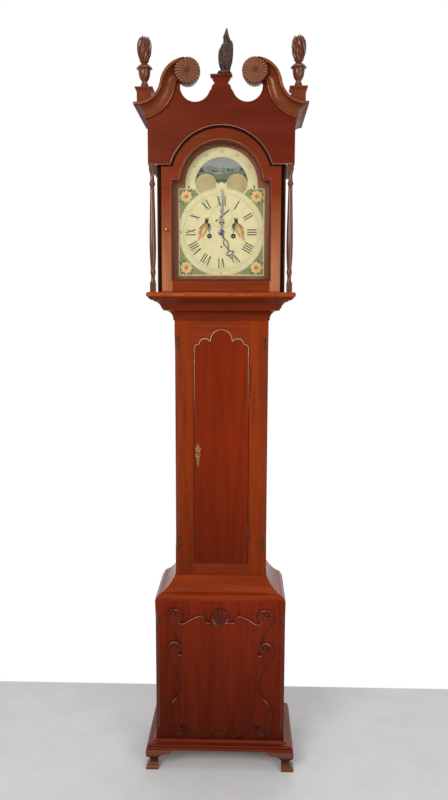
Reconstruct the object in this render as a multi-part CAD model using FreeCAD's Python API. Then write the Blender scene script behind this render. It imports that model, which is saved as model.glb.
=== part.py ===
"""Tall case clock with a scrolled hood, a lipped trunk door and an eight day striking movement.

Millimetres, +Z up, +X to the right of a viewer in front, -Y towards the viewer.
The origin is on the floor, under the middle of the bounding box.
"""
import FreeCAD
import Part

import math
import os

from FreeCAD import Vector

# Case sizes, left to right and back to front
WAIST_WIDTH = 340.0
WAIST_DEPTH = 205.0
BASE_STEP = 71.0
HOOD_STEP = 80.0
HOOD_SIDE_STEP = 52.0
BOARD = 18.0
BACKBOARD = 12.0
FRONT_FRAME = 20.0
CORNER_CHAMFER = 15.0
CORNER_STOP = 54.0
SEAT_GAP = 0.2
SLIDE_GAP = 2.0

# Case sizes, from the floor up
FOOT_HEIGHT = 77.0
BASE_MOULDING_HEIGHT = 28.0
BASE_PANEL_HEIGHT = 545.0
WAIST_MOULDING_HEIGHT = 76.0
TRUNK_FACE_HEIGHT = 953.0
THROAT_HEIGHT = 81.0
HOOD_FRAME_HEIGHT = 18.0
HOOD_OPENING_HEIGHT = 430.0
FRIEZE_HEIGHT = 194.0
TRUNK_TENON = 10.0

# Feet and base
FOOT_WIDTH = 101.0
FOOT_PAD = 46.0
FOOT_REACH = 36.0
FOOT_WALL = 25.0
BASE_MOULDING_REACH = 34.0
BASE_FLOOR_LIFT = 1.0
APPLIED_PANEL = 7.0
CARVING_HALF = 236.0
CARVING_DROP = 42.0
# Rise of the drawn scrolls for each unit of half width, and the shares of it between which the sides lengthen
SCROLL_RISE = 545 / 236
SCROLL_LOW = 0.30
SCROLL_HIGH = 0.70
VOLUTE_RADIUS = 18.0
SHELL_RADIUS = 36.0

# Trunk door, lock and hinges
DOOR_HALF = 100.0
DOOR_BOTTOM_RAIL = 45.0
DOOR_STRAIGHT = 808.0
DOOR_LIP = 8.0
DOOR_LIP_THICK = 5.6
DOOR_LIP_ROUND = 3.4
DOOR_GAP = 0.4
DOOR_EDGE_GAP = 1.5
DOOR_BODY = 18.0
HINGE_HEIGHT = 66.0
HINGE_LOW = 87.0
HINGE_HIGH = 669.0
HINGE_KNUCKLE = 3.4
HINGE_PIN = 1.6
HINGE_LEAF = 1.5
HINGE_OFFSET = 1.6
HINGE_ENDPLAY = 0.3
PIN_GAP = 0.08
KEYHOLE_RISE = 422.0
KEYHOLE_INSET = 15.0
ESCUTCHEON_THICK = 1.4
LOCK_WIDTH = 44.0
LOCK_HEIGHT = 60.0
LOCK_THICK = 9.0
BOLT_HEIGHT = 18.0
BOLT_THICK = 5.0
BOLT_LENGTH = 26.0
BOLT_THROW = 8.0
BOLT_GAP = 0.3

# Hood
HOOD_NOSE = 10.0
HOOD_PANEL = 14.0
SCROLL_BOARD = 16.0
ARCH_HALF = 173.0
ARCH_RISE = 128.0
CORNICE_HEIGHT = 48.0
CORNICE_REACH = 42.0
NECK_START = 280.0
NECK_RISE = 141.0
NECK_TOP_RADIUS = 90.0
ROSETTE_X = 113.5
ROSETTE_DROP = 41.0
ROSETTE_RADIUS = 41.5
VOID_X = 88.0
VOID_LIFT = 61.0
VOID_RADIUS = 51.0
CAP_HALF = 37.0
CAP_LIFT = 97.0
CAP_HEIGHT = 5.0
CAP_DEPTH = 34.0
FINIAL_X = 258.0
PLINTH_SIZE = 48.0
PLINTH_HEIGHT = 42.0
PLINTH_CAP = 60.0
PLINTH_CAP_HEIGHT = 10.0
FINIAL_HEIGHT = 169.0
BIRD_HEIGHT = 145.0
BIRD_X = 12.0
TOP_BOARD = 12.0
TOP_BOARD_LIFT = 6.0
COLUMN_INSET = 13.0
COLUMN_BLOCK = 20.0
COLUMN_BASE = 34.0
COLUMN_CAP = 22.0

# Hood door
HOOD_DOOR_HALF = 205.0
HOOD_DOOR_GAP = 2.0
HOOD_DOOR_ARCH_GAP = 3.5
HOOD_DOOR_THICK = 20.0
HOOD_DOOR_SETBACK = 2.0
GLASS_HALF = 168.0
GLASS_SILL = 42.0
GLASS_SHOULDER = 52.0
GLASS_ARCH_RADIUS = 141.0
GLASS_ARCH_RISE = 79.0
GLASS_THICK = 2.0
GLASS_LAP = 5.0
PIVOT_RADIUS = 2.5
PIVOT_INSET = 3.0
PIVOT_DEPTH = 10.0
PIVOT_TANG = 15.0
KNOB_RADIUS = 6.5
KNOB_REACH = 16.0
KNOB_INSET = 17.0

# Dial and moon
DIAL_CENTRE_LIFT = 208.0
DIAL_SETBACK = 45.0
DIAL_HALF = 156.0
DIAL_THICK = 2.0
DIAL_ARCH_HALF = 132.0
DIAL_ARCH_RISE = 138.0
MASK_LAP = 6.0
MASK_THICK = 5.0
MASK_GAP = 0.6
MOON_LIFT = 162.0
MOON_RADIUS = 96.0
MOON_TEETH = 118
MOON_THICK = 1.0
MOON_GAP = 0.6
MOON_STUD = 3.0
APERTURE_RADIUS = 93.0
HUMP_X = 54.0
HUMP_RADIUS = 37.0
NIB_RADIUS = 9.0

# Movement, placed from the hand centre
PLATE_HALF = 72.0
PLATE_BELOW = 60.0
PLATE_ABOVE = 120.0
PLATE = 3.0
PLATE_SPACE = 62.0
DIAL_FOOT = 44.0
DIAL_FOOT_RADIUS = 4.0
PILLAR_RADIUS = 5.0
ARBOR = 2.0
PIVOT_GAP = 0.08
SECONDS_LIFT = 54.0
WINDING_X = 42.0
WINDING_DROP = 13.0
WINDING_ARBOR = 3.2
BARREL_RADIUS = 22.0
BARREL_FLANGE = 2.0
LINE_RADIUS = 1.0
LINE_GAP = 0.3
GREAT_TEETH = 96
STRIKE_TEETH = 78
CENTRE_LEAVES = 8
CENTRE_TEETH = 60
CENTRE_MODULE = 1.0
THIRD_LEAVES = 8
THIRD_TEETH = 56
THIRD_MODULE = 0.85
ESCAPE_LEAVES = 7
ESCAPE_TEETH = 30
ESCAPE_RADIUS = 22.0
MOTION_TEETH = 30
MOTION_MODULE = 0.8
HOUR_LEAVES = 6
HOUR_TEETH = 72
WHEEL = 2.0
PALLET_LIFT = 29.0
NIB_CLEARANCE = 1.8
CANNON_RADIUS = 3.6
HOUR_PIPE = 5.2
PIPE_GAP = 0.1
HAND = 1.0
HAND_GAP = 1.0
MINUTE_HAND = 147.0
HOUR_HAND = 116.0
SECONDS_HAND = 35.0
SECONDS_TAIL = 23.0
MINUTE_ANGLE = 2.0
HOUR_ANGLE = 157.0
SECONDS_ANGLE = 50.0

# Pendulum, weights and bell
PENDULUM_BEHIND = 28.0
PENDULUM_LENGTH = 994.0
ROD_RADIUS = 3.0
BOB_RADIUS = 75.0
BOB_THICK = 30.0
NUT_RADIUS = 9.0
NUT_HEIGHT = 12.0
CRUTCH_LENGTH = 112.0
FORK_PIN = 1.5
FORK_GAP = 0.4
STUD_RADIUS = 3.0
SEATBOARD = 20.0
SEATBOARD_LAP = 4.0
SEATBOARD_TAIL = 14.0
LINE_AHEAD = 16.0
PULLEY_RADIUS = 19.0
PULLEY_WIDTH = 7.0
PULLEY_RIM = 3.0
PULLEY_GAP = 0.4
WEIGHT_RADIUS = 25.0
WEIGHT_HEIGHT = 200.0
WEIGHT_LOW = 420.0
STIRRUP = 3.0
HOOK_HEIGHT = 36.0
BELL_RADIUS = 50.0
BELL_HEIGHT = 42.0
BELL_WALL = 3.0
BELL_LIFT = 44.0
BELL_AHEAD = 49.0
HAMMER_X = 52.0
HAMMER_HEAD = 8.0
HAMMER_GAP = 2.0

# Planes and levels that follow from the sizes above
HALF = WAIST_WIDTH / 2
BASE_HALF = HALF + BASE_STEP
HOOD_HALF = HALF + HOOD_STEP
HOOD_SIDE = HALF + HOOD_SIDE_STEP
HOOD_INNER = HOOD_SIDE - HOOD_PANEL
BASE_DEPTH = WAIST_DEPTH + BASE_STEP
HOOD_DEPTH = WAIST_DEPTH + HOOD_STEP
BACK_Y = (HOOD_DEPTH + CORNICE_REACH) / 2
BASE_Z = FOOT_HEIGHT
WAIST_Z = BASE_Z + BASE_MOULDING_HEIGHT + BASE_PANEL_HEIGHT
TRUNK_Z = WAIST_Z + WAIST_MOULDING_HEIGHT
THROAT_Z = TRUNK_Z + TRUNK_FACE_HEIGHT
HOOD_Z = THROAT_Z + THROAT_HEIGHT
SILL_Z = HOOD_Z + SEAT_GAP + HOOD_FRAME_HEIGHT
FRIEZE_Z = SILL_Z + HOOD_OPENING_HEIGHT
CORNICE_Z = FRIEZE_Z + FRIEZE_HEIGHT
TOP_BOARD_Z = FRIEZE_Z + ARCH_RISE + TOP_BOARD_LIFT
FRAME_INNER = WAIST_DEPTH - FRONT_FRAME
DOOR_Z = TRUNK_Z + DOOR_BOTTOM_RAIL
DOOR_HEAD_Z = DOOR_Z + DOOR_STRAIGHT
ARCH_RADIUS = (ARCH_HALF ** 2 + ARCH_RISE ** 2) / (2 * ARCH_RISE)
ARCH_CENTRE_Z = FRIEZE_Z + ARCH_RISE - ARCH_RADIUS
HAND_Z = SILL_Z + DIAL_CENTRE_LIFT
DIAL_DEPTH = HOOD_DEPTH - DIAL_SETBACK
FRONT_PLATE = DIAL_DEPTH - DIAL_THICK - DIAL_FOOT
BACK_PLATE = FRONT_PLATE - PLATE - PLATE_SPACE
PLATE_BACK = BACK_PLATE - PLATE
PLATE_FRONT_INNER = FRONT_PLATE - PLATE
PENDULUM_DEPTH = PLATE_BACK - PENDULUM_BEHIND
LINE_DEPTH = BACK_PLATE + LINE_AHEAD
BELL_DEPTH = BACK_PLATE + BELL_AHEAD
SEATBOARD_FRONT = FRONT_PLATE + SEATBOARD_LAP
SEATBOARD_BACK = PLATE_BACK - SEATBOARD_TAIL
SEAT_Z = HAND_Z - PLATE_BELOW
CHEEK_Z = SEAT_Z - SEATBOARD
WINDING_Z = HAND_Z - WINDING_DROP
PIVOT_Z = HAND_Z + SECONDS_LIFT + PALLET_LIFT
BOB_Z = PIVOT_Z - PENDULUM_LENGTH
LINE_OUTER = WINDING_X + BARREL_RADIUS + LINE_GAP + LINE_RADIUS
LINE_LOOP = PULLEY_RADIUS + LINE_GAP + LINE_RADIUS
WEIGHT_X = LINE_OUTER - LINE_LOOP
PULLEY_Z = WEIGHT_LOW + WEIGHT_HEIGHT + HOOK_HEIGHT
OVERCUT = 1.0


def depth(distance):
    """Y of the plane this far in front of the back of the case."""
    return BACK_Y - distance


def block(x0, x1, d0, d1, z0, z1):
    """Box between two X, two depths from the back and two heights."""
    return Part.makeBox(x1 - x0, d1 - d0, z1 - z0, Vector(x0, depth(d1), z0))


def drum(x, z, d0, d1, radius):
    """Cylinder along Y between two depths."""
    return Part.makeCylinder(radius, d1 - d0, Vector(x, depth(d1), z), Vector(0, 1, 0))


def post(x, d, z0, z1, radius):
    """Upright cylinder."""
    return Part.makeCylinder(radius, z1 - z0, Vector(x, depth(d), z0))


def wire(start, steps, place):
    """Closed wire: a step (u, v) is a straight line, (mu, mv, u, v) an arc through (mu, mv)."""
    edges = []
    here = place(*start)
    for step in steps:
        there = place(*step[-2:])
        if (there - here).Length < 1e-6:
            continue
        if len(step) == 2:
            edges.append(Part.LineSegment(here, there).toShape())
        else:
            edges.append(Part.Arc(here, place(*step[:2]), there).toShape())
        here = there
    first = place(*start)
    if (here - first).Length > 1e-6:
        edges.append(Part.LineSegment(here, first).toShape())
    return Part.Wire(edges)


def upright(start, steps, d0, d1):
    """Plate drawn in X and Z, between two depths."""
    face = Part.Face(wire(start, steps, lambda u, v: Vector(u, depth(d1), v)))
    return face.extrude(Vector(0, d1 - d0, 0))


def turned(start, steps, x, d, z):
    """Solid turned about an upright axis from a profile of radius and height above z."""
    face = Part.Face(wire(start, steps, lambda r, h: Vector(x + r, depth(d), z + h)))
    return face.revolve(Vector(x, depth(d), z), Vector(0, 0, 1), 360)


def turned_y(start, steps, x, d, z):
    """Solid turned about an axis along Y from a profile of radius and depth in front of d."""
    face = Part.Face(wire(start, steps, lambda r, h: Vector(x + r, depth(d + h), z)))
    return face.revolve(Vector(x, depth(d), z), Vector(0, 1, 0), 360)


def dome(radius, foot, top):
    """Arc of a sphere from a rim up to the axis, as a step of a turned profile."""
    rise = top - foot
    ball = (radius ** 2 + rise ** 2) / (2 * rise)
    centre = top - ball
    turn = 0.5 * math.atan2(radius, foot - centre)
    return ball * math.sin(turn), centre + ball * math.cos(turn), 0, top


def mirrored(shape):
    """The same piece on the other side of the clock."""
    return shape.mirror(Vector(0, 0, 0), Vector(1, 0, 0))


def pair(shape):
    """A piece and its mirror image."""
    return [shape, mirrored(shape)]


def fused(shapes):
    """One solid from several that meet."""
    return shapes[0].multiFuse(shapes[1:]).removeSplitter()


def save(name, shapes):
    """Write the pieces of one node."""
    solids = []
    for shape in shapes:
        solids.extend(shape.Solids)
    Part.makeCompound(solids).exportStep("parts/" + name + ".step")


def moulding(start, steps, half, face_depth, z0, reach):
    """Front run and two side runs of one profile, mitred at the front corners."""
    far = reach + OVERCUT
    tall = THROAT_HEIGHT + WAIST_MOULDING_HEIGHT

    def prism(corners):
        face = Part.Face(wire(corners[0], corners[1:], lambda x, d: Vector(x, depth(d), z0 - OVERCUT)))
        return face.extrude(Vector(0, 0, tall))

    length = 2 * (half + far)
    left = -half - far
    front_face = Part.Face(wire(start, steps, lambda u, w: Vector(left, depth(face_depth + u), z0 + w)))
    front = front_face.extrude(Vector(length, 0, 0))
    corner_out = (half + far, face_depth + far)
    corner_left = (-corner_out[0], corner_out[1])
    front = front.common(prism([(-half, face_depth), (half, face_depth), corner_out, corner_left]))
    side_face = Part.Face(wire(start, steps, lambda u, w: Vector(half + u, BACK_Y, z0 + w)))
    side = side_face.extrude(Vector(0, -(face_depth + far), 0))
    side = side.common(prism([(half, 0), (half + far, 0), corner_out, (half, face_depth)]))
    return [front, side, mirrored(side)]


def corner_cut(x_edge, d_edge, leg, z0, z1, stop):
    """Cutter for a chamfer on a front corner, with a tapered stop at each end."""
    def triangle(size, z):
        corners = [(x_edge - size - OVERCUT, d_edge + OVERCUT), (x_edge + OVERCUT, d_edge + OVERCUT)]
        corners.append((x_edge + OVERCUT, d_edge - size - OVERCUT))
        return wire(corners[0], corners[1:], lambda x, d: Vector(x, depth(d), z))

    parts = []
    for low, high, low_leg, high_leg in (
        (z0, z0 + stop, 0.0, leg),
        (z0 + stop, z1 - stop, leg, leg),
        (z1 - stop, z1, leg, 0.0),
    ):
        parts.append(Part.makeLoft([triangle(low_leg, low), triangle(high_leg, high)], True, True))
    return parts


# Base: panel, boards, moulding, feet and applied carving

def base_front():
    """Front panel with chamfered and stopped corners."""
    panel = block(-BASE_HALF, BASE_HALF, BASE_DEPTH - BOARD, BASE_DEPTH, BASE_Z, WAIST_Z)
    low = BASE_Z + BASE_MOULDING_HEIGHT + CORNER_CHAMFER
    cutters = corner_cut(BASE_HALF, BASE_DEPTH, CORNER_CHAMFER, low, WAIST_Z - CORNER_CHAMFER, CORNER_STOP)
    for cutter in cutters:
        panel = panel.cut(cutter).cut(mirrored(cutter))
    return panel


def base_moulding():
    """Stepped moulding round the foot of the base."""
    r = BASE_MOULDING_REACH
    h = BASE_MOULDING_HEIGHT
    steps = [
        (r - 2, 0), (r, 0.18 * h, r - 2, 0.36 * h), (r - 6, 0.36 * h), (r - 6, 0.45 * h),
        (r - 4, 0.56 * h, r - 8, 0.66 * h), (r - 11, 0.66 * h), (r - 11, 0.73 * h),
        (r - 23, 0.80 * h, 4, h), (0, h),
    ]
    return moulding((0, 0), steps, BASE_HALF, BASE_DEPTH, BASE_Z, r)


def foot(rear):
    """Ogee bracket foot on the right, front corner or rear corner."""
    h = FOOT_HEIGHT
    r = FOOT_REACH
    inner = r - FOOT_WALL
    steps = [
        (r - 1, 0), (r - 1, 0.10 * h), (r - 5, 0.17 * h), (r - 16, 0.37 * h, r - 6, 0.60 * h),
        (r, 0.80 * h, r - 2, h), (inner, h),
    ]
    outer = BASE_HALF + r
    end = outer - FOOT_WIDTH
    pad = outer - FOOT_PAD
    bow = [(pad, -OVERCUT), (pad, 0.25 * h), (pad - 4, 0.62 * h, pad - 24, 0.8 * h)]
    bow += [(end + 8, 0.88 * h, end, h), (end - OVERCUT, h), (end - OVERCUT, -OVERCUT)]
    side_face = Part.Face(wire((inner, 0), steps, lambda u, w: Vector(BASE_HALF + u, BACK_Y, w)))
    if rear:
        run = side_face.extrude(Vector(0, -FOOT_WIDTH, 0))
        to_depth = lambda u, v: Vector(BASE_HALF, depth(outer - u), v)
        cutter = Part.Face(wire(bow[0], bow[1:], to_depth)).extrude(Vector(2 * r, 0, 0))
        return run.cut(cutter)
    front_depth = BASE_DEPTH + r
    front_face = Part.Face(wire((inner, 0), steps, lambda u, w: Vector(end, depth(BASE_DEPTH + u), w)))
    front = front_face.extrude(Vector(FOOT_WIDTH, 0, 0))
    corner = (BASE_HALF + r + OVERCUT, BASE_DEPTH + r + OVERCUT)
    inner_corner = (BASE_HALF, BASE_DEPTH)
    keep = [(end, BASE_DEPTH), inner_corner, corner, (end, corner[1])]
    floor = lambda x, d: Vector(x, depth(d), -OVERCUT)
    front = front.common(Part.Face(wire(keep[0], keep[1:], floor)).extrude(Vector(0, 0, h + 2 * OVERCUT)))
    front_cut = Part.Face(wire(bow[0], bow[1:], lambda u, v: Vector(u, depth(front_depth + OVERCUT), v)))
    front = front.cut(front_cut.extrude(Vector(0, 2 * r, 0)))
    side = side_face.extrude(Vector(0, -front_depth, 0))
    keep = [(BASE_HALF, front_depth - FOOT_WIDTH), (corner[0], front_depth - FOOT_WIDTH), corner, inner_corner]
    side = side.common(Part.Face(wire(keep[0], keep[1:], floor)).extrude(Vector(0, 0, h + 2 * OVERCUT)))
    to_side = lambda u, v: Vector(BASE_HALF - OVERCUT, depth(front_depth - outer + u), v)
    side = side.cut(Part.Face(wire(bow[0], bow[1:], to_side)).extrude(Vector(2 * r, 0, 0)))
    return fused([front, side])


def on_base(across, up):
    """X and Z of a point given as shares of the carving's half width and rise."""
    foot_z = BASE_Z + BASE_MOULDING_HEIGHT - CARVING_DROP
    rise = SCROLL_RISE * CARVING_HALF
    side = min(1.0, max(0.0, (up - SCROLL_LOW) / (SCROLL_HIGH - SCROLL_LOW)))
    return across * CARVING_HALF, foot_z + up * rise + side * (BASE_PANEL_HEIGHT - rise)


def applied_panel():
    """Scrolled panel glued to the base front: arcs of one half, foot to head, and their mirror."""
    arcs = [
        (0.068, 0.128, 0.127, 0.145), (0.220, 0.106, 0.297, 0.114), (0.424, 0.139, 0.517, 0.206),
        (0.602, 0.207, 0.644, 0.176), (0.715, 0.116, 0.775, 0.168), (0.824, 0.262, 0.788, 0.340),
        (0.664, 0.400, 0.598, 0.466), (0.634, 0.556, 0.800, 0.668), (0.840, 0.730, 0.796, 0.767),
        (0.746, 0.785, 0.678, 0.708), (0.623, 0.694, 0.597, 0.730), (0.634, 0.807, 0.796, 0.930),
        (0.826, 0.983, 0.775, 1.007), (0.703, 1.020, 0.665, 0.932), (0.593, 0.917, 0.534, 0.925),
        (0.398, 0.961, 0.305, 0.976), (0.263, 0.969, 0.229, 0.936), (0.195, 0.925, 0.131, 0.936),
    ]
    steps = []
    for mid_x, mid_z, end_x, end_z in arcs:
        steps.append(on_base(mid_x, mid_z) + on_base(end_x, end_z))
    steps.append(on_base(0, arcs[-1][3]))
    half = upright(on_base(0, 0.123), steps, BASE_DEPTH, BASE_DEPTH + APPLIED_PANEL)
    return fused(pair(half))


def base_carving():
    """Volutes at the ends of the scrolls, and the shell at the head of the panel."""
    pieces = []
    front = BASE_DEPTH + APPLIED_PANEL
    r = VOLUTE_RADIUS
    for across, up in ((0.731, 0.990), (0.716, 0.751), (0.652, 0.146)):
        x, z = on_base(across, up)
        steps = [(0, 0.24 * r), (0.45 * r, 0.19 * r), (0.5 * r, 0.07 * r), (0.62 * r, 0.19 * r, 0.8 * r, 0)]
        pieces.extend(pair(turned_y((0, 0), steps, x, front, z)))
    shell_z = on_base(0, 0.962)[1]
    ribs = []
    rib_count = 13
    for index in range(rib_count):
        angle = math.radians(-22 + index * 224 / (rib_count - 1))
        tip = Vector(math.cos(angle), 0, math.sin(angle)) * SHELL_RADIUS
        start = Vector(0, depth(front), shell_z) + tip * 0.12
        ribs.append(Part.makeCone(1.2, 5.0, 0.94 * SHELL_RADIUS, start, tip))
    ground = drum(0, shell_z, front, front + 2.5, 0.86 * SHELL_RADIUS)
    shell = fused([ground] + ribs)
    shell = shell.common(block(-60, 60, front, front + 20, shell_z - 60, shell_z + 80))
    pieces.append(shell)
    return pieces


def build_base():
    """Everything below the waist moulding."""
    side = block(BASE_HALF - BOARD, BASE_HALF, 0, BASE_DEPTH - BOARD, BASE_Z, WAIST_Z)
    floor_z = BASE_Z + BASE_FLOOR_LIFT
    inner = BASE_HALF - BOARD
    save("base_front_panel", [base_front()])
    save("base_side_boards", pair(side))
    save("base_bottom_board", [block(-inner, inner, BACKBOARD, BASE_DEPTH - BOARD, floor_z, floor_z + BOARD)])
    save("base_moulding", base_moulding())
    save("bracket_feet", pair(foot(False)) + pair(foot(True)))
    save("base_applied_panel", [applied_panel()])
    save("base_scroll_carving", base_carving())


# Trunk: boards, front frame, mouldings and door

def door_face(d):
    """Slabs that together make the door's outline: straight sides and a head of five lobes."""
    z = DOOR_HEAD_Z
    outer_x = 0.84 * DOOR_HALF
    second_x = 0.6 * DOOR_HALF
    shapes = [block(-DOOR_HALF, DOOR_HALF, d, d + 1, DOOR_Z, z)]
    for half, rise in ((0.82 * DOOR_HALF, 0.14 * DOOR_HALF), (second_x, 0.27 * DOOR_HALF)):
        shapes.append(block(-half, half, d, d + 1, z - 0.2 * DOOR_HALF, z + rise))
    lobes = [(0, 0.28 * DOOR_HALF, 0.41 * DOOR_HALF)]
    for side in (-1, 1):
        lobes.append((side * second_x, 0.14 * DOOR_HALF, 0.225 * DOOR_HALF))
        lobes.append((side * outer_x, 0.0, 0.16 * DOOR_HALF))
    for x, lift, radius in lobes:
        shapes.append(drum(x, z + lift, d, d + 1, radius))
    return shapes


def door_plate(d0, d1):
    """Plate of the door outline between two depths."""
    plate = fused(door_face(d0))
    front = [face for face in plate.Faces if abs(face.CenterOfMass.y - depth(d0)) < 1e-6]
    return front[0].extrude(Vector(0, -(d1 - d0), 0))


def rim_at(solid, d):
    """Outer edges of the flat face of a solid at this depth."""
    for face in solid.Faces:
        if face.BoundBox.YLength < 1e-4 and abs(face.CenterOfMass.y - depth(d)) < 1e-4:
            return face.OuterWire.Edges
    return []


def hinge_axis():
    """X and depth of the trunk door's pins, on the right edge of its lip."""
    return DOOR_HALF + HINGE_OFFSET, WAIST_DEPTH + HINGE_KNUCKLE + DOOR_GAP


def hinge_parts(z0):
    """Frame leaf with its pin, and door leaf, of one butt hinge that starts at z0."""
    x, d = hinge_axis()
    third = HINGE_HEIGHT / 3
    opening = DOOR_HALF - DOOR_LIP
    z1 = z0 + HINGE_HEIGHT
    frame = [post(x, d, z0, z0 + third, HINGE_KNUCKLE), post(x, d, z1 - third, z1, HINGE_KNUCKLE)]
    frame.append(post(x, d, z0, z1, HINGE_PIN))
    tab_front = WAIST_DEPTH + 0.5 * HINGE_KNUCKLE
    for low in (z0, z1 - third):
        frame.append(block(x - 1.2, x + 1.2, WAIST_DEPTH - HINGE_LEAF, tab_front, low, low + third))
    frame.append(block(opening, x + 1.2, WAIST_DEPTH - HINGE_LEAF, WAIST_DEPTH, z0, z1))
    frame.append(block(opening, opening + HINGE_LEAF, FRAME_INNER, WAIST_DEPTH, z0, z1))
    edge = opening - DOOR_EDGE_GAP
    low = z0 + third + HINGE_ENDPLAY
    high = z1 - third - HINGE_ENDPLAY
    lip_back = WAIST_DEPTH + DOOR_GAP
    door = [post(x, d, low, high, HINGE_KNUCKLE)]
    door.append(block(edge - HINGE_LEAF, x - 0.4 * HINGE_KNUCKLE, lip_back, lip_back + HINGE_LEAF, low, high))
    door.append(block(edge - HINGE_LEAF, edge, lip_back - 0.8 * DOOR_BODY, lip_back + HINGE_LEAF, low, high))
    bore = post(x, d, low - OVERCUT, high + OVERCUT, HINGE_PIN + PIN_GAP)
    return fused(frame), fused(door).cut(bore)


def trunk_hinges():
    """Both hinges as lists of frame leaves and door leaves."""
    frames = []
    doors = []
    for rise in (HINGE_LOW, HINGE_HIGH):
        frame, door = hinge_parts(DOOR_Z + rise)
        frames.append(frame)
        doors.append(door)
    return frames, doors


def lock_place():
    """X and Z of the keyhole."""
    return -(DOOR_HALF - KEYHOLE_INSET), DOOR_Z + KEYHOLE_RISE


def keyhole_cutter(d0, d1):
    """Round hole with a slot under it."""
    x, z = lock_place()
    slot = block(x - 1.1, x + 1.1, d0, d1, z - 9, z)
    return fused([drum(x, z, d0, d1, 2.4), slot])


def escutcheon():
    """Brass plate round the keyhole, with a crested head and a long tail."""
    x, z = lock_place()
    front = WAIST_DEPTH + DOOR_GAP + DOOR_LIP_THICK
    steps = [
        (x + 4, z - 30), (x + 7, z - 16, x + 11.5, z - 10), (x + 12, z - 3, x + 7, z + 1),
        (x + 11, z + 9, x + 12.5, z + 17), (x + 9, z + 22, x + 4, z + 25), (x + 5, z + 31, x, z + 35),
        (x - 5, z + 31, x - 4, z + 25), (x - 9, z + 22, x - 12.5, z + 17), (x - 11, z + 9, x - 7, z + 1),
        (x - 12, z - 3, x - 11.5, z - 10), (x - 7, z - 16, x - 4, z - 30),
    ]
    plate = upright((x, z - 52), steps, front, front + ESCUTCHEON_THICK)
    return plate.cut(keyhole_cutter(front - OVERCUT, front + ESCUTCHEON_THICK + OVERCUT))


def lock_boxes():
    """Lock case and bolt, let into the back of the door's left edge."""
    x, z = lock_place()
    edge = -(DOOR_HALF - DOOR_LIP - DOOR_EDGE_GAP)
    back = WAIST_DEPTH + DOOR_GAP - DOOR_BODY
    case = block(edge, edge + LOCK_WIDTH, back, back + LOCK_THICK, z - 0.5 * LOCK_HEIGHT, z + 0.5 * LOCK_HEIGHT)
    mid = back + 0.5 * LOCK_THICK
    half_high = 0.5 * BOLT_HEIGHT
    half_thick = 0.5 * BOLT_THICK
    bolt = block(edge, edge + BOLT_LENGTH, mid - half_thick, mid + half_thick, z - half_high, z + half_high)
    g = BOLT_GAP
    channel = block(edge - OVERCUT, edge + BOLT_LENGTH + g, mid - half_thick - g, mid + half_thick + g,
                    z - half_high - g, z + half_high + g)
    keep_x = -(DOOR_HALF - DOOR_LIP)
    keep = block(keep_x - BOLT_THROW - OVERCUT, keep_x + OVERCUT, mid - half_thick - g, mid + half_thick + g,
                 z - half_high - g, z + half_high + g)
    return case, bolt, channel, keep


def trunk_door(frames, doors):
    """Lipped door: a square body that fits the opening and a thin shaped lip that laps its edge."""
    lip_back = WAIST_DEPTH + DOOR_GAP
    front = lip_back + DOOR_LIP_THICK
    lip = door_plate(lip_back, front)
    inset = DOOR_LIP + DOOR_EDGE_GAP
    half = DOOR_HALF - inset
    body = block(-half, half, lip_back - DOOR_BODY, lip_back, DOOR_Z + inset, DOOR_HEAD_Z - inset)
    lip = lip.makeFillet(DOOR_LIP_ROUND, rim_at(lip, front))
    door = fused([lip, body])
    x, d = hinge_axis()
    for rise in (HINGE_LOW, HINGE_HIGH):
        z0 = DOOR_Z + rise - HINGE_ENDPLAY
        door = door.cut(post(x, d, z0, z0 + HINGE_HEIGHT + 2 * HINGE_ENDPLAY, HINGE_KNUCKLE + 0.5))
    for leaf in frames + doors:
        door = door.cut(leaf)
    return door.cut(lock_boxes()[0]).cut(keyhole_cutter(0, HOOD_DEPTH))


def trunk_frame(frames):
    """Two stiles and two rails round the door opening."""
    opening = DOOR_HALF - DOOR_LIP
    foot_z = WAIST_Z - TRUNK_TENON
    right = block(opening, HALF, FRAME_INNER, WAIST_DEPTH, foot_z, HOOD_Z)
    low = TRUNK_Z + 2 * DOOR_BOTTOM_RAIL
    high = THROAT_Z - 1.25 * DOOR_BOTTOM_RAIL
    for cutter in corner_cut(HALF, WAIST_DEPTH, CORNER_CHAMFER, low, high, CORNER_STOP):
        right = right.cut(cutter)
    left = mirrored(right)
    for leaf in frames:
        right = right.cut(leaf)
    left = left.cut(lock_boxes()[3])
    top = block(-opening, opening, FRAME_INNER, WAIST_DEPTH, DOOR_HEAD_Z - DOOR_LIP, HOOD_Z)
    bottom = block(-opening, opening, FRAME_INNER, WAIST_DEPTH, foot_z, DOOR_Z + DOOR_LIP)
    return [right, left, top, bottom]


def waist_moulding():
    """Cove over an ovolo, from the trunk out to the base."""
    h = WAIST_MOULDING_HEIGHT
    s = BASE_STEP
    steps = [(s, 0), (s, 3), (s - 3, 3), (s - 8, 14, s - 19, 20), (s - 22, 20), (s - 22, 24), (s - 27, 24)]
    steps += [(19, 47, 3, h - 3), (3, h), (0, h)]
    return moulding((0, 0), steps, HALF, WAIST_DEPTH, WAIST_Z, s)


def throat_moulding():
    """Two coves that carry the hood out from the trunk."""
    h = THROAT_HEIGHT
    r = HOOD_STEP + 4
    steps = [
        (4, 0), (4, 3), (9, 22, 22, 33), (r - 46, 36), (r - 46, 42), (r - 42, 43), (r - 34, h - 22, r - 18, h - 14),
        (r - 18, h - 11), (r - 8, h - 8.5, r - 2, h - 3), (r, h - 3), (r, h), (0, h),
    ]
    return moulding((0, 0), steps, HALF, WAIST_DEPTH, THROAT_Z, r)


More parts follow.
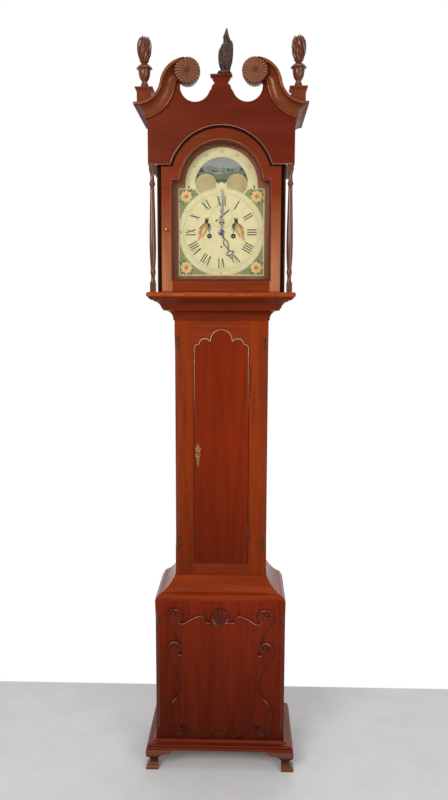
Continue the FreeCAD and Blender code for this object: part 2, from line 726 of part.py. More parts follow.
def backboard():
    """One board behind base, trunk and hood."""
    base = BASE_HALF - BOARD
    trunk = HALF - BOARD
    hood = HOOD_INNER - SLIDE_GAP
    top = TOP_BOARD_Z - SLIDE_GAP
    steps = [
        (base, BASE_Z), (base, WAIST_Z), (trunk, WAIST_Z), (trunk, CHEEK_Z), (hood, CHEEK_Z), (hood, top),
        (-hood, top), (-hood, CHEEK_Z), (-trunk, CHEEK_Z), (-trunk, WAIST_Z), (-base, WAIST_Z),
    ]
    return upright((-base, BASE_Z), steps, 0, BACKBOARD)


def seatboard():
    """Board on the cheeks that carries the movement, with holes for the lines."""
    board = block(-HALF, HALF, SEATBOARD_BACK, SEATBOARD_FRONT, CHEEK_Z, SEAT_Z)
    hole = LINE_RADIUS + LINE_GAP
    for x in (LINE_OUTER, LINE_OUTER - 2 * LINE_LOOP):
        for side in (-1, 1):
            board = board.cut(post(side * x, LINE_DEPTH, CHEEK_Z - OVERCUT, SEAT_Z + OVERCUT, hole))
    return board


def build_trunk():
    """The case between base and hood, and its door."""
    frames, doors = trunk_hinges()
    case, bolt, channel, keep = lock_boxes()
    side = block(HALF - BOARD, HALF, 0, FRAME_INNER, WAIST_Z - TRUNK_TENON, CHEEK_Z)
    side = side.cut(block(HALF - BOARD, HALF, 0, BACKBOARD, WAIST_Z - TRUNK_TENON, WAIST_Z))
    save("backboard", [backboard()])
    save("trunk_side_boards", pair(side))
    save("trunk_front_frame", trunk_frame(frames))
    save("waist_moulding", waist_moulding())
    save("throat_moulding", throat_moulding())
    save("seatboard", [seatboard()])
    save("trunk_hinge_frame_leaves", frames)
    save("trunk_hinge_door_leaves", doors)
    save("trunk_door", [trunk_door(frames, doors)])
    save("keyhole_escutcheon", [escutcheon()])
    save("lock_case", [case.cut(channel).cut(keyhole_cutter(0, HOOD_DEPTH))])
    save("lock_bolt", [bolt])


# Hood: frame, sides, scroll board, mouldings and ornaments

def cornice_profile():
    """Bead, cove and top fillet, as distance out from the face and height above the foot."""
    r = CORNICE_REACH
    h = CORNICE_HEIGHT
    steps = [(6, 0), (9, 3, 6, 6), (6, 9), (8, 9), (8 + 0.29 * (r - 12), 9 + 0.71 * (h - 17), r - 4, h - 8)]
    steps += [(r, h - 8), (r, h), (0, h)]
    return steps


def neck_arcs():
    """Centre and radius of the two arcs of the swan neck's upper edge, and their angle."""
    run = NECK_START - ROSETTE_X
    total = (run ** 2 + NECK_RISE ** 2) / (2 * NECK_RISE)
    low_radius = total - NECK_TOP_RADIUS
    low = (NECK_START, CORNICE_Z + low_radius)
    high = (ROSETTE_X, CORNICE_Z + NECK_RISE - NECK_TOP_RADIUS)
    angle = math.atan2(run, low[1] - high[1])
    return low, low_radius, high, NECK_TOP_RADIUS, angle


def rosette_z():
    """Height of the rosettes' centres."""
    return CORNICE_Z + NECK_RISE - ROSETTE_DROP


def swan_neck():
    """Right hand cornice run: straight from the mitre, then two arcs up to the rosette."""
    low, low_radius, high, high_radius, angle = neck_arcs()
    steps = cornice_profile()
    foot_z = CORNICE_Z - CORNICE_HEIGHT
    face = Part.Face(wire((0, 0), steps, lambda u, w: Vector(low[0], depth(HOOD_DEPTH + u), foot_z + w)))
    straight = face.extrude(Vector(HOOD_HALF + CORNICE_REACH - low[0], 0, 0))
    outer = HOOD_HALF + CORNICE_REACH
    keep = [(0, HOOD_DEPTH), (HOOD_HALF, HOOD_DEPTH), (outer, HOOD_DEPTH + CORNICE_REACH)]
    keep.append((0, HOOD_DEPTH + CORNICE_REACH))
    prism = Part.Face(wire(keep[0], keep[1:], lambda x, d: Vector(x, depth(d), foot_z - OVERCUT)))
    prism = prism.extrude(Vector(0, 0, CORNICE_HEIGHT + NECK_RISE + 2 * OVERCUT))
    turn = math.degrees(angle)
    lower = face.revolve(Vector(low[0], 0, low[1]), Vector(0, 1, 0), turn)
    top_z = high[1] + high_radius - CORNICE_HEIGHT
    end = Part.Face(wire((0, 0), steps, lambda u, w: Vector(high[0], depth(HOOD_DEPTH + u), top_z + w)))
    upper = end.revolve(Vector(high[0], 0, high[1]), Vector(0, 1, 0), turn)
    neck = fused([straight, lower, upper]).common(prism)
    front = HOOD_DEPTH + 2 * CORNICE_REACH
    return neck.cut(drum(ROSETTE_X, rosette_z(), HOOD_DEPTH - OVERCUT, front, ROSETTE_RADIUS))


def rosette():
    """Turned and carved boss on the end of a swan neck."""
    r = ROSETTE_RADIUS
    t = CORNICE_REACH
    boss = turned_y((0, 0), [(r, 0), (r, t - 6), (r - 2, t - 3), dome(r - 2, t - 3, t)], ROSETTE_X, HOOD_DEPTH,
                    rosette_z())
    petals = 24
    for index in range(petals):
        angle = 2 * math.pi * (index + 0.5) / petals
        x = ROSETTE_X + (r + 2.2) * math.cos(angle)
        z = rosette_z() + (r + 2.2) * math.sin(angle)
        boss = boss.cut(drum(x, z, HOOD_DEPTH + t - 9, HOOD_DEPTH + t + OVERCUT, 3.4))
    return boss


def scroll_board():
    """Front board of the hood: arched below, scrolled above, with two round voids and a plinth."""
    low, low_radius, high, high_radius, angle = neck_arcs()

    corner = math.asin(max(0.0, low[0] - HOOD_HALF) / low_radius)

    def on_low(share):
        turn = corner + share * (angle - corner)
        return low[0] - low_radius * math.sin(turn), low[1] - low_radius * math.cos(turn)

    def on_high(share):
        turn = share * angle
        return high[0] + high_radius * math.sin(turn), high[1] + high_radius * math.cos(turn)

    void_z = CORNICE_Z + VOID_LIFT
    cap_z = CORNICE_Z + CAP_LIFT
    neck_z = cap_z - 28
    right = [(HOOD_HALF, FRIEZE_Z)] + low_points(low, on_low(0.0))
    right += [
        on_low(0.5) + on_low(1.0), on_high(0.5) + (ROSETTE_X, CORNICE_Z + NECK_RISE), (ROSETTE_X, void_z),
        (CAP_HALF + 3, void_z - 17),
        (CAP_HALF - 4, neck_z - 16), (CAP_HALF - 7, neck_z - 6, CAP_HALF - 15, neck_z),
        (CAP_HALF - 8, cap_z - 17), (CAP_HALF - 2, cap_z - CAP_HEIGHT), (0, cap_z - CAP_HEIGHT),
        (0, FRIEZE_Z + ARCH_RISE),
    ]
    arch_mid = (ARCH_RADIUS * math.sin(0.5 * math.asin(ARCH_HALF / ARCH_RADIUS)),
                ARCH_CENTRE_Z + ARCH_RADIUS * math.cos(0.5 * math.asin(ARCH_HALF / ARCH_RADIUS)))
    right.append(arch_mid + (ARCH_HALF, FRIEZE_Z))
    half = upright((ARCH_HALF, FRIEZE_Z), right, HOOD_DEPTH - SCROLL_BOARD, HOOD_DEPTH)
    back = HOOD_DEPTH - SCROLL_BOARD
    half = half.cut(drum(VOID_X, void_z, back - OVERCUT, HOOD_DEPTH + OVERCUT, VOID_RADIUS))
    backing = drum(ROSETTE_X, rosette_z(), back, HOOD_DEPTH, ROSETTE_RADIUS - 3)
    half = fused([half, backing])
    board = fused(pair(half))
    x, d = pivot_axis()
    return board.cut(post(x, d, FRIEZE_Z - OVERCUT, FRIEZE_Z + PIVOT_DEPTH + OVERCUT, PIVOT_RADIUS + PIN_GAP))


def low_points(low, first):
    """Corner of the scroll board, and where its top edge leaves a straight run if it has one."""
    return [(HOOD_HALF, CORNICE_Z), (low[0], CORNICE_Z)] if low[0] < HOOD_HALF else [first]


def side_cornice():
    """Right hand return of the cornice, from the front mitre to the back."""
    foot_z = CORNICE_Z - CORNICE_HEIGHT
    face = Part.Face(wire((0, 0), cornice_profile(), lambda u, w: Vector(HOOD_HALF + u, BACK_Y, foot_z + w)))
    run = face.extrude(Vector(0, -(HOOD_DEPTH + CORNICE_REACH), 0))
    outer = HOOD_HALF + CORNICE_REACH
    keep = [(HOOD_HALF, 0), (outer, 0), (outer, HOOD_DEPTH + CORNICE_REACH), (HOOD_HALF, HOOD_DEPTH)]
    prism = Part.Face(wire(keep[0], keep[1:], lambda x, d: Vector(x, depth(d), foot_z - OVERCUT)))
    return run.common(prism.extrude(Vector(0, 0, CORNICE_HEIGHT + 2 * OVERCUT)))


def column():
    """Turned column on the right front corner of the hood."""
    x = HOOD_HALF - COLUMN_INSET
    d = HOOD_DEPTH - COLUMN_INSET + 1
    h = HOOD_OPENING_HEIGHT
    half = COLUMN_BLOCK / 2
    steps = [
        (half - 2, COLUMN_BASE), (5, 0.10 * h), (5, 0.125 * h), (8.6, 0.15 * h), (8.6, 0.165 * h),
        (6, 0.175 * h), (9.2, 0.225 * h, 10.2, 0.29 * h), (9.0, 0.52 * h, 6, h - 80), (6, h - 66),
        (9.5, h - 62), (9.5, h - 56), (5.6, h - 52), (5.6, h - 34), (half - 2, h - COLUMN_CAP),
        (0, h - COLUMN_CAP),
    ]
    shaft = turned((0, COLUMN_BASE), steps, x, d, SILL_Z)
    base = block(x - half, x + half, d - half, d + half, SILL_Z, SILL_Z + COLUMN_BASE)
    cap = block(x - half, x + half, d - half, d + half, FRIEZE_Z - COLUMN_CAP, FRIEZE_Z)
    return fused([base, shaft, cap])


def finial():
    """Urn with a flame, on the right hand plinth."""
    h = FINIAL_HEIGHT
    steps = [
        (0.083 * h, 0), (0.083 * h, 0.020 * h), (0.050 * h, 0.065 * h), (0.060 * h, 0.083 * h),
        (0.119 * h, 0.200 * h, 0.122 * h, 0.325 * h), (0.161 * h, 0.340 * h), (0.161 * h, 0.352 * h),
        (0.062 * h, 0.440 * h), (0.090 * h, 0.478 * h), (0.082 * h, 0.510 * h),
        (0.139 * h, 0.760 * h, 0.116 * h, 0.945 * h), dome(0.116 * h, 0.945 * h, h),
    ]
    return turned((0, 0), steps, FINIAL_X, HOOD_DEPTH, CORNICE_Z + PLINTH_HEIGHT + PLINTH_CAP_HEIGHT)


def bird():
    """Standing bird on a rock: a loft through rounds that lean a little to the right."""
    z = CORNICE_Z + CAP_LIFT
    rounds = [
        (0.0, 0.00, 24), (1.0, 0.07, 23), (2.0, 0.12, 15), (3.0, 0.22, 17), (4.0, 0.38, 24), (5.0, 0.55, 23),
        (6.0, 0.68, 17), (5.0, 0.78, 9), (5.0, 0.88, 9), (6.0, 1.00, 1.5),
    ]
    wires = []
    for lean, share, radius in rounds:
        centre = Vector(BIRD_X + lean, depth(HOOD_DEPTH - 0.5 * SCROLL_BOARD), z + share * BIRD_HEIGHT)
        wires.append(Part.Wire(Part.makeCircle(radius, centre)))
    return Part.makeLoft(wires, True, False)


def plinths():
    """Two corner plinths with their caps, and the cap under the bird."""
    x = FINIAL_X
    half = PLINTH_SIZE / 2
    cap = PLINTH_CAP / 2
    d = HOOD_DEPTH
    top = CORNICE_Z + PLINTH_HEIGHT
    shaft = block(x - half, x + half, d - half, d + half, CORNICE_Z, top)
    flare_top = top + 0.6 * PLINTH_CAP_HEIGHT
    square = lambda size, z: wire((x - size, d - size), [(x + size, d - size), (x + size, d + size),
                                  (x - size, d + size)], lambda u, v: Vector(u, depth(v), z))
    flare = Part.makeLoft([square(half, top), square(cap, flare_top)], True, True)
    lid = block(x - cap, x + cap, d - cap, d + cap, flare_top, top + PLINTH_CAP_HEIGHT)
    corner = fused([shaft, flare, lid]).cut(swan_neck()).cut(scroll_board())
    corner = max(corner.Solids, key=lambda solid: solid.Volume)
    cap_z = CORNICE_Z + CAP_LIFT
    back = d - 0.5 * SCROLL_BOARD - 0.5 * CAP_DEPTH
    centre = block(-CAP_HALF, CAP_HALF, back, back + CAP_DEPTH, cap_z - CAP_HEIGHT, cap_z)
    return pair(corner) + [centre]


def hood_frame():
    """Frame the hood stands on, open at the back so that it slides past the cheeks."""
    outer = HOOD_HALF + HOOD_NOSE
    front = HOOD_DEPTH + HOOD_NOSE
    z = HOOD_Z + SEAT_GAP
    frame = block(-outer, outer, 0, front, z, SILL_Z)
    inner = HALF + SLIDE_GAP
    frame = frame.cut(block(-inner, inner, -OVERCUT, WAIST_DEPTH, z - OVERCUT, SILL_Z + OVERCUT))
    nose = []
    for edge in frame.Edges:
        box = edge.BoundBox
        level = box.ZLength < 1e-6
        on_front = box.YLength < 1e-6 and abs(box.YMin - depth(front)) < 1e-6
        on_side = box.XLength < 1e-6 and abs(abs(box.XMin) - outer) < 1e-6
        if level and (on_front or on_side):
            nose.append(edge)
    frame = frame.makeFillet(0.42 * HOOD_FRAME_HEIGHT, nose)
    x, d = pivot_axis()
    return frame.cut(post(x, d, SILL_Z - PIVOT_DEPTH, SILL_Z + OVERCUT, PIVOT_RADIUS + PIN_GAP))


def dial_opening(lap, d0, d1):
    """Square with an arched head, lap smaller than the dial all round."""
    half = DIAL_HALF - lap
    arch = DIAL_ARCH_HALF - lap
    low = HAND_Z - DIAL_HALF + lap
    shoulder = HAND_Z + DIAL_HALF - lap
    top = HAND_Z + DIAL_HALF + DIAL_ARCH_RISE - lap
    lean = 0.7071
    spring = top - arch
    steps = [
        (half, low), (half, shoulder), (arch, shoulder), (arch, spring),
        (arch * lean, spring + arch * lean, 0, top), (-arch * lean, spring + arch * lean, -arch, spring),
        (-arch, shoulder), (-half, shoulder),
    ]
    return upright((-half, low), steps, d0, d1)


def dial_mask():
    """Board in the hood that frames the dial."""
    d0 = DIAL_DEPTH + MASK_GAP
    d1 = d0 + MASK_THICK
    board = block(-HOOD_INNER, HOOD_INNER, d0, d1, SILL_Z, TOP_BOARD_Z)
    return board.cut(dial_opening(MASK_LAP, d0 - OVERCUT, d1 + OVERCUT))


def build_hood():
    """The hood without its door."""
    rear = HOOD_DEPTH - HOOD_DOOR_SETBACK - HOOD_DOOR_THICK - OVERCUT
    board_back = HOOD_DEPTH - SCROLL_BOARD
    panel = block(HOOD_INNER, HOOD_SIDE, 0, rear, SILL_Z, FRIEZE_Z)
    frieze = block(HOOD_HALF - BOARD, HOOD_HALF, 0, board_back, FRIEZE_Z, CORNICE_Z)
    soffit = block(HOOD_INNER, HOOD_HALF - BOARD, 0, board_back, FRIEZE_Z, FRIEZE_Z + BOARD)
    top = block(-HOOD_HALF + BOARD, HOOD_HALF - BOARD, 0, board_back, TOP_BOARD_Z, TOP_BOARD_Z + TOP_BOARD)
    save("hood_base_frame", [hood_frame()])
    save("hood_side_panels", pair(panel))
    save("hood_carcase", pair(frieze) + pair(soffit) + [top])
    save("hood_scroll_board", [scroll_board()])
    save("swan_necks", pair(swan_neck()))
    save("hood_side_cornices", pair(side_cornice()))
    save("rosettes", pair(rosette()))
    save("hood_columns", pair(column()))
    save("finial_plinths", plinths())
    save("flame_finials", pair(finial()))
    save("bird_finial", [bird()])
    save("dial_mask", [dial_mask()])


# Hood door

def pivot_axis():
    """X and depth of the hood door's pivot pins, near its right front corner."""
    return HOOD_DOOR_HALF - PIVOT_INSET, HOOD_DEPTH - HOOD_DOOR_SETBACK - PIVOT_INSET


def door_pins():
    """Bottom and top pivot pins, with a tang in the door and a tip in the hood."""
    x, d = pivot_axis()
    low = SILL_Z + HOOD_DOOR_GAP
    high = FRIEZE_Z - HOOD_DOOR_GAP
    bottom = post(x, d, SILL_Z - PIVOT_DEPTH + OVERCUT, low + PIVOT_TANG, PIVOT_RADIUS)
    top = post(x, d, high - PIVOT_TANG, FRIEZE_Z + PIVOT_DEPTH, PIVOT_RADIUS)
    return [bottom, top]


def glass_opening(lap, d0, d1):
    """Door opening, or the glass that covers it by a lap."""
    half = GLASS_HALF + lap
    low = SILL_Z + GLASS_SILL - lap
    shoulder = FRIEZE_Z - GLASS_SHOULDER + lap
    arch = GLASS_ARCH_RADIUS + lap
    top = FRIEZE_Z + GLASS_ARCH_RISE + lap
    centre = top - arch
    spring = math.sqrt(arch ** 2 - (shoulder - centre) ** 2)
    steps = [(half, low), (half, shoulder), (spring, shoulder), (0, top, -spring, shoulder), (-half, shoulder)]
    return upright((-half, low), steps, d0, d1)


def door_frame():
    """Two stiles, a bottom rail and an arched top rail."""
    d1 = HOOD_DEPTH - HOOD_DOOR_SETBACK
    d0 = d1 - HOOD_DOOR_THICK
    low = SILL_Z + HOOD_DOOR_GAP
    high = FRIEZE_Z - HOOD_DOOR_GAP
    stile = block(GLASS_HALF, HOOD_DOOR_HALF, d0, d1, low, high)
    rail = block(-GLASS_HALF, GLASS_HALF, d0, d1, low, SILL_Z + GLASS_SILL)
    radius = ARCH_RADIUS - HOOD_DOOR_ARCH_GAP
    spring = math.sqrt(radius ** 2 - (high - ARCH_CENTRE_Z) ** 2)
    spring = min(spring, GLASS_HALF)
    rise = math.sqrt(radius ** 2 - spring ** 2)
    spring_z = ARCH_CENTRE_Z + rise
    head_steps = [(GLASS_HALF, high), (spring, high), (spring, spring_z)]
    head_steps += [(0, ARCH_CENTRE_Z + radius, -spring, spring_z), (-spring, high), (-GLASS_HALF, high)]
    head_steps.append((-GLASS_HALF, FRIEZE_Z - GLASS_SHOULDER - 2))
    head = upright((GLASS_HALF, FRIEZE_Z - GLASS_SHOULDER - 2), head_steps, d0, d1)
    head = head.cut(glass_opening(0.0, d0 - OVERCUT, d1 + OVERCUT))
    right = stile
    for pin in door_pins():
        right = right.cut(pin)
    return [right, mirrored(stile), rail, head]


def build_hood_door():
    """Glazed door that closes the front of the hood."""
    front = HOOD_DEPTH - HOOD_DOOR_SETBACK
    back = front - HOOD_DOOR_THICK
    r = KNOB_RADIUS
    reach = KNOB_REACH
    stem = 0.45 * r
    ball_foot = reach - r - math.sqrt(r ** 2 - stem ** 2)
    knob_steps = [(0.9 * r, 0), (0.9 * r, 1), (stem, 2), (stem, ball_foot), dome(stem, ball_foot, reach)]
    knob = turned_y((0, 0), knob_steps, -(HOOD_DOOR_HALF - KNOB_INSET), front, HAND_Z + 4)
    save("hood_door_frame", door_frame())
    save("hood_door_glass", [glass_opening(GLASS_LAP, back - GLASS_THICK, back)])
    save("hood_door_knob", [knob])
    save("hood_door_pins", door_pins())


# Movement: wheels

WHEEL_FORM = (0.8, 1.15, 0.40, 0.16)
PINION_FORM = (0.5, 1.15, 0.36, 0.26)


def toothed(x, z, d0, d1, teeth, module, form, turn):
    """Straight flanked gear between two depths, with a tooth at the angle turn (radians)."""
    tip, root, foot_share, tip_share = form
    pitch = 2 * math.pi / teeth
    radius = 0.5 * teeth * module
    corners = []
    for index in range(teeth):
        middle = turn + index * pitch
        for reach, share in ((-root, -foot_share), (tip, -tip_share), (tip, tip_share), (-root, foot_share)):
            angle = middle + 0.5 * share * pitch
            span = radius + reach * module
            corners.append((x + span * math.cos(angle), z + span * math.sin(angle)))
    return upright(corners[0], corners[1:], d0, d1)


def crossed(wheel, x, z, d0, d1, inner, outer, spokes):
    """Wheel with windows cut between its hub and its rim."""
    ring = drum(x, z, d0 - OVERCUT, d1 + OVERCUT, outer).cut(drum(x, z, d0 - OVERCUT, d1 + OVERCUT, inner))
    for index in range(spokes):
        bar = block(x - 0.09 * outer, x + 0.09 * outer, d0 - OVERCUT, d1 + OVERCUT, z, z + outer + OVERCUT)
        bar.rotate(Vector(x, 0, z), Vector(0, 1, 0), index * 360.0 / spokes)
        ring = ring.cut(bar)
    return wheel.cut(ring)


def wheel_on(x, z, d0, teeth, module, turn, arbor_radius, spokes):
    """Brass wheel of the usual thickness, crossed out and bored for its arbor."""
    d1 = d0 + WHEEL
    wheel = toothed(x, z, d0, d1, teeth, module, WHEEL_FORM, turn)
    rim = 0.5 * teeth * module - 3.2 * module
    wheel = crossed(wheel, x, z, d0, d1, max(2.2 * arbor_radius, 0.2 * rim), 0.94 * rim, spokes)
    return wheel.cut(drum(x, z, d0 - OVERCUT, d1 + OVERCUT, arbor_radius))


def third_place():
    """X and Z of the third arbor, from its two centre distances."""
    to_centre = 0.5 * (CENTRE_TEETH + THIRD_LEAVES) * CENTRE_MODULE
    to_escape = 0.5 * (THIRD_TEETH + ESCAPE_LEAVES) * THIRD_MODULE
    lift = (to_centre ** 2 - to_escape ** 2 + SECONDS_LIFT ** 2) / (2 * SECONDS_LIFT)
    return math.sqrt(to_centre ** 2 - lift ** 2), HAND_Z + lift


def angle_to(x0, z0, x1, z1):
    """Angle from one centre to another, seen from the front."""
    return math.atan2(z1 - z0, x1 - x0)


CENTRE_WHEEL_DEPTH = BACK_PLATE + 6
THIRD_WHEEL_DEPTH = BACK_PLATE + 19
ESCAPE_WHEEL_DEPTH = BACK_PLATE + 2
GREAT_WHEEL_DEPTH = PLATE_FRONT_INNER - 6
STRIKE_WHEEL_DEPTH = PLATE_FRONT_INNER - 14
DRUM_BACK = BACK_PLATE + 11
CANNON_DEPTH = FRONT_PLATE + 4
HOUR_WHEEL_DEPTH = FRONT_PLATE + 9
MOTION_TURN = math.radians(-120)
SECONDS_HAND_DEPTH = DIAL_DEPTH + HAND_GAP
HOUR_HAND_DEPTH = SECONDS_HAND_DEPTH + HAND + HAND_GAP
MINUTE_HAND_DEPTH = HOUR_HAND_DEPTH + HAND + HAND_GAP


def going_module():
    """Module of the great wheel, from the distance to the centre arbor."""
    distance = math.hypot(WINDING_X, WINDING_DROP)
    return 2 * distance / (GREAT_TEETH + CENTRE_LEAVES)


def motion_place():
    """X and Z of the minute wheel's stud."""
    distance = MOTION_TEETH * MOTION_MODULE
    return distance * math.cos(MOTION_TURN), HAND_Z + distance * math.sin(MOTION_TURN)


def hour_module():
    """Module of the hour wheel, from the same stud distance."""
    return 2 * MOTION_TEETH * MOTION_MODULE / (HOUR_LEAVES + HOUR_TEETH)


def barrel(side, wheel_depth, teeth, module, turn):
    """Winding arbor with its drum, flange and great wheel."""
    x = side * WINDING_X
    z = WINDING_Z
    arbor = drum(x, z, PLATE_BACK, DIAL_DEPTH - DIAL_THICK, WINDING_ARBOR)
    wheel = toothed(x, z, wheel_depth, wheel_depth + WHEEL, teeth, module, WHEEL_FORM, turn)
    roller = drum(x, z, DRUM_BACK, wheel_depth, BARREL_RADIUS)
    flange = drum(x, z, DRUM_BACK - BARREL_FLANGE, DRUM_BACK, BARREL_RADIUS + 1.5 * BARREL_FLANGE)
    bore = drum(x, z, 0, HOOD_DEPTH, WINDING_ARBOR)
    return [fused([roller, flange, wheel]).cut(bore), arbor]


def hand_shape(length, tail, boss, angle, x, z, d0):
    """Pierced hand: boss, stem with two open loops and a pointed tip, turned clockwise."""
    d1 = d0 + HAND
    parts = [drum(x, z, d0, d1, boss)]
    stem = 0.018 * length + 0.6
    parts.append(upright((x - stem, z), [(x + stem, z), (x + 0.4, z + length), (x - 0.4, z + length)], d0, d1))
    for share, size in ((0.42, 0.055), (0.58, 0.042)):
        centre = z + share * length
        ring = drum(x, centre, d0, d1, size * length + 0.8)
        parts.append(ring.cut(drum(x, centre, d0 - OVERCUT, d1 + OVERCUT, size * length - 0.8)))
    tip = 0.82 * length
    parts.append(upright((x, z + tip - 9), [(x + 3, z + tip), (x, z + length), (x - 3, z + tip)], d0, d1))
    if tail > 0:
        parts.append(block(x - 0.8, x + 0.8, d0, d1, z - tail, z))
        parts.append(drum(x, z - tail, d0, d1, 3.0))
    hand = fused(parts)
    hand.rotate(Vector(x, 0, z), Vector(0, 1, 0), angle)
    return hand


def cannon():
    """Pipe and wheel on the front of the centre arbor, up to the minute hand."""
    d0 = CANNON_DEPTH
    pipe = drum(0, HAND_Z, d0, MINUTE_HAND_DEPTH, CANNON_RADIUS)
    wheel = toothed(0, HAND_Z, d0, d0 + WHEEL, MOTION_TEETH, MOTION_MODULE, WHEEL_FORM, MOTION_TURN)
    return fused([pipe, wheel])


def build_going_train():
    """Going barrel, centre, third and escape arbors, and the seconds hand."""
    third_x, third_z = third_place()
    escape_z = HAND_Z + SECONDS_LIFT
    to_centre = angle_to(-WINDING_X, WINDING_Z, 0, HAND_Z)
    save("going_barrel", barrel(-1, GREAT_WHEEL_DEPTH, GREAT_TEETH, going_module(), to_centre))
    save("strike_barrel", barrel(1, STRIKE_WHEEL_DEPTH, STRIKE_TEETH, going_module(), 0.0))

    leaf_gap = to_centre + math.pi + math.pi / CENTRE_LEAVES
    pinion = toothed(0, HAND_Z, GREAT_WHEEL_DEPTH - 2, GREAT_WHEEL_DEPTH + WHEEL + 2, CENTRE_LEAVES,
                     going_module(), PINION_FORM, leaf_gap)
    arbor = drum(0, HAND_Z, PLATE_BACK, CANNON_DEPTH, ARBOR)
    to_third = angle_to(0, HAND_Z, third_x, third_z)
    wheel = wheel_on(0, HAND_Z, CENTRE_WHEEL_DEPTH, CENTRE_TEETH, CENTRE_MODULE, to_third, ARBOR, 4)
    save("centre_wheel", [fused([arbor, pinion]), wheel, cannon()])

    turn = to_third + math.pi + math.pi / THIRD_LEAVES
    pinion = toothed(third_x, third_z, CENTRE_WHEEL_DEPTH - 1.5, CENTRE_WHEEL_DEPTH + WHEEL + 1.5, THIRD_LEAVES,
                     CENTRE_MODULE, PINION_FORM, turn)
    arbor = drum(third_x, third_z, PLATE_BACK, FRONT_PLATE, ARBOR)
    to_escape = angle_to(third_x, third_z, 0, escape_z)
    wheel = wheel_on(third_x, third_z, THIRD_WHEEL_DEPTH, THIRD_TEETH, THIRD_MODULE, to_escape, ARBOR, 4)
    save("third_wheel", [fused([arbor, pinion]), wheel])

    turn = to_escape + math.pi + math.pi / ESCAPE_LEAVES
    pinion = toothed(0, escape_z, THIRD_WHEEL_DEPTH - 1.5, THIRD_WHEEL_DEPTH + WHEEL + 1.5, ESCAPE_LEAVES,
                     THIRD_MODULE, PINION_FORM, turn)
    arbor = drum(0, escape_z, PLATE_BACK, SECONDS_HAND_DEPTH, 0.8 * ARBOR)
    escape_module = 2 * ESCAPE_RADIUS / (ESCAPE_TEETH + 2)
    wheel = toothed(0, escape_z, ESCAPE_WHEEL_DEPTH, ESCAPE_WHEEL_DEPTH + WHEEL, ESCAPE_TEETH, escape_module,
                    (1.0, 1.6, 0.5, 0.06), 0.0)
    wheel = crossed(wheel, 0, escape_z, ESCAPE_WHEEL_DEPTH, ESCAPE_WHEEL_DEPTH + WHEEL, 2.5 * ARBOR,
                    0.72 * ESCAPE_RADIUS, 4)
    wheel = wheel.cut(drum(0, escape_z, 0, HOOD_DEPTH, 0.8 * ARBOR))
    save("escape_wheel", [fused([arbor, pinion]), wheel])
    hand = hand_shape(SECONDS_HAND, SECONDS_TAIL, 4.0, SECONDS_ANGLE, 0, escape_z, SECONDS_HAND_DEPTH)
    save("seconds_hand", [hand])


def build_motion_work():
    """Minute wheel and hour wheel in front of the plates, with the two long hands."""
    x, z = motion_place()
    d0 = CANNON_DEPTH
    turn = MOTION_TURN
    save("minute_hand", [hand_shape(MINUTE_HAND, 0.0, 11.0, MINUTE_ANGLE, 0, HAND_Z, MINUTE_HAND_DEPTH)])

    gap = turn + math.pi + math.pi / MOTION_TEETH
    wheel = toothed(x, z, d0, d0 + WHEEL, MOTION_TEETH, MOTION_MODULE, WHEEL_FORM, gap)
    leaf = turn + math.pi + math.pi / HOUR_LEAVES
    top = HOUR_WHEEL_DEPTH + WHEEL + 1.5
    pinion = toothed(x, z, d0 + WHEEL, top, HOUR_LEAVES, hour_module(), PINION_FORM, leaf)
    minute_wheel = fused([wheel, pinion])
    bore_radius = 0.55 * ARBOR
    save("minute_wheel", [minute_wheel.cut(drum(x, z, d0 - OVERCUT, top + OVERCUT, bore_radius + PIVOT_GAP))])

    d1 = HOUR_WHEEL_DEPTH
    wheel = toothed(0, HAND_Z, d1, d1 + WHEEL, HOUR_TEETH, hour_module(), WHEEL_FORM, turn)
    rim = 0.39 * HOUR_TEETH * hour_module()
    wheel = crossed(wheel, 0, HAND_Z, d1, d1 + WHEEL, 1.6 * HOUR_PIPE, rim, 4)
    pipe = drum(0, HAND_Z, d1, HOUR_HAND_DEPTH + HAND, HOUR_PIPE)
    bore = drum(0, HAND_Z, d1 - OVERCUT, HOUR_HAND_DEPTH + HAND + OVERCUT, CANNON_RADIUS + PIPE_GAP)
    hand = hand_shape(HOUR_HAND, 0.0, 11.0, HOUR_ANGLE, 0, HAND_Z, HOUR_HAND_DEPTH)
    hand = hand.cut(drum(0, HAND_Z, HOUR_HAND_DEPTH - OVERCUT, HOUR_HAND_DEPTH + HAND + OVERCUT, HOUR_PIPE))
    save("hour_wheel", [fused([wheel, pipe]).cut(bore)])
    save("hour_hand", [hand])


# Movement: plates, dial, escapement, pendulum, weights and bell

def feet_places():
    """X and Z of the four dial feet."""
    low = HAND_Z - PLATE_BELOW + 10
    high = HAND_Z + SECONDS_LIFT + 20
    return [(-66, low), (66, low), (-66, high), (66, high)]


def pillar_places():
    """X and Z of the five pillars between the plates."""
    low = HAND_Z - PLATE_BELOW + 5.5
    high = HAND_Z + PLATE_ABOVE - 7
    side = PLATE_HALF - 6
    return [(-side, HAND_Z + 48), (side, HAND_Z + 48), (-side, high), (side, high), (0, low)]


def arbor_holes():
    """X, Z and radius of each arbor that runs in both plates."""
    third_x, third_z = third_place()
    return [
        (-WINDING_X, WINDING_Z, WINDING_ARBOR), (WINDING_X, WINDING_Z, WINDING_ARBOR), (0, HAND_Z, ARBOR),
        (third_x, third_z, ARBOR), (0, HAND_Z + SECONDS_LIFT, 0.8 * ARBOR), (0, PIVOT_Z, ARBOR),
        (HAMMER_X, HAND_Z + PLATE_ABOVE - 20, ARBOR),
    ]


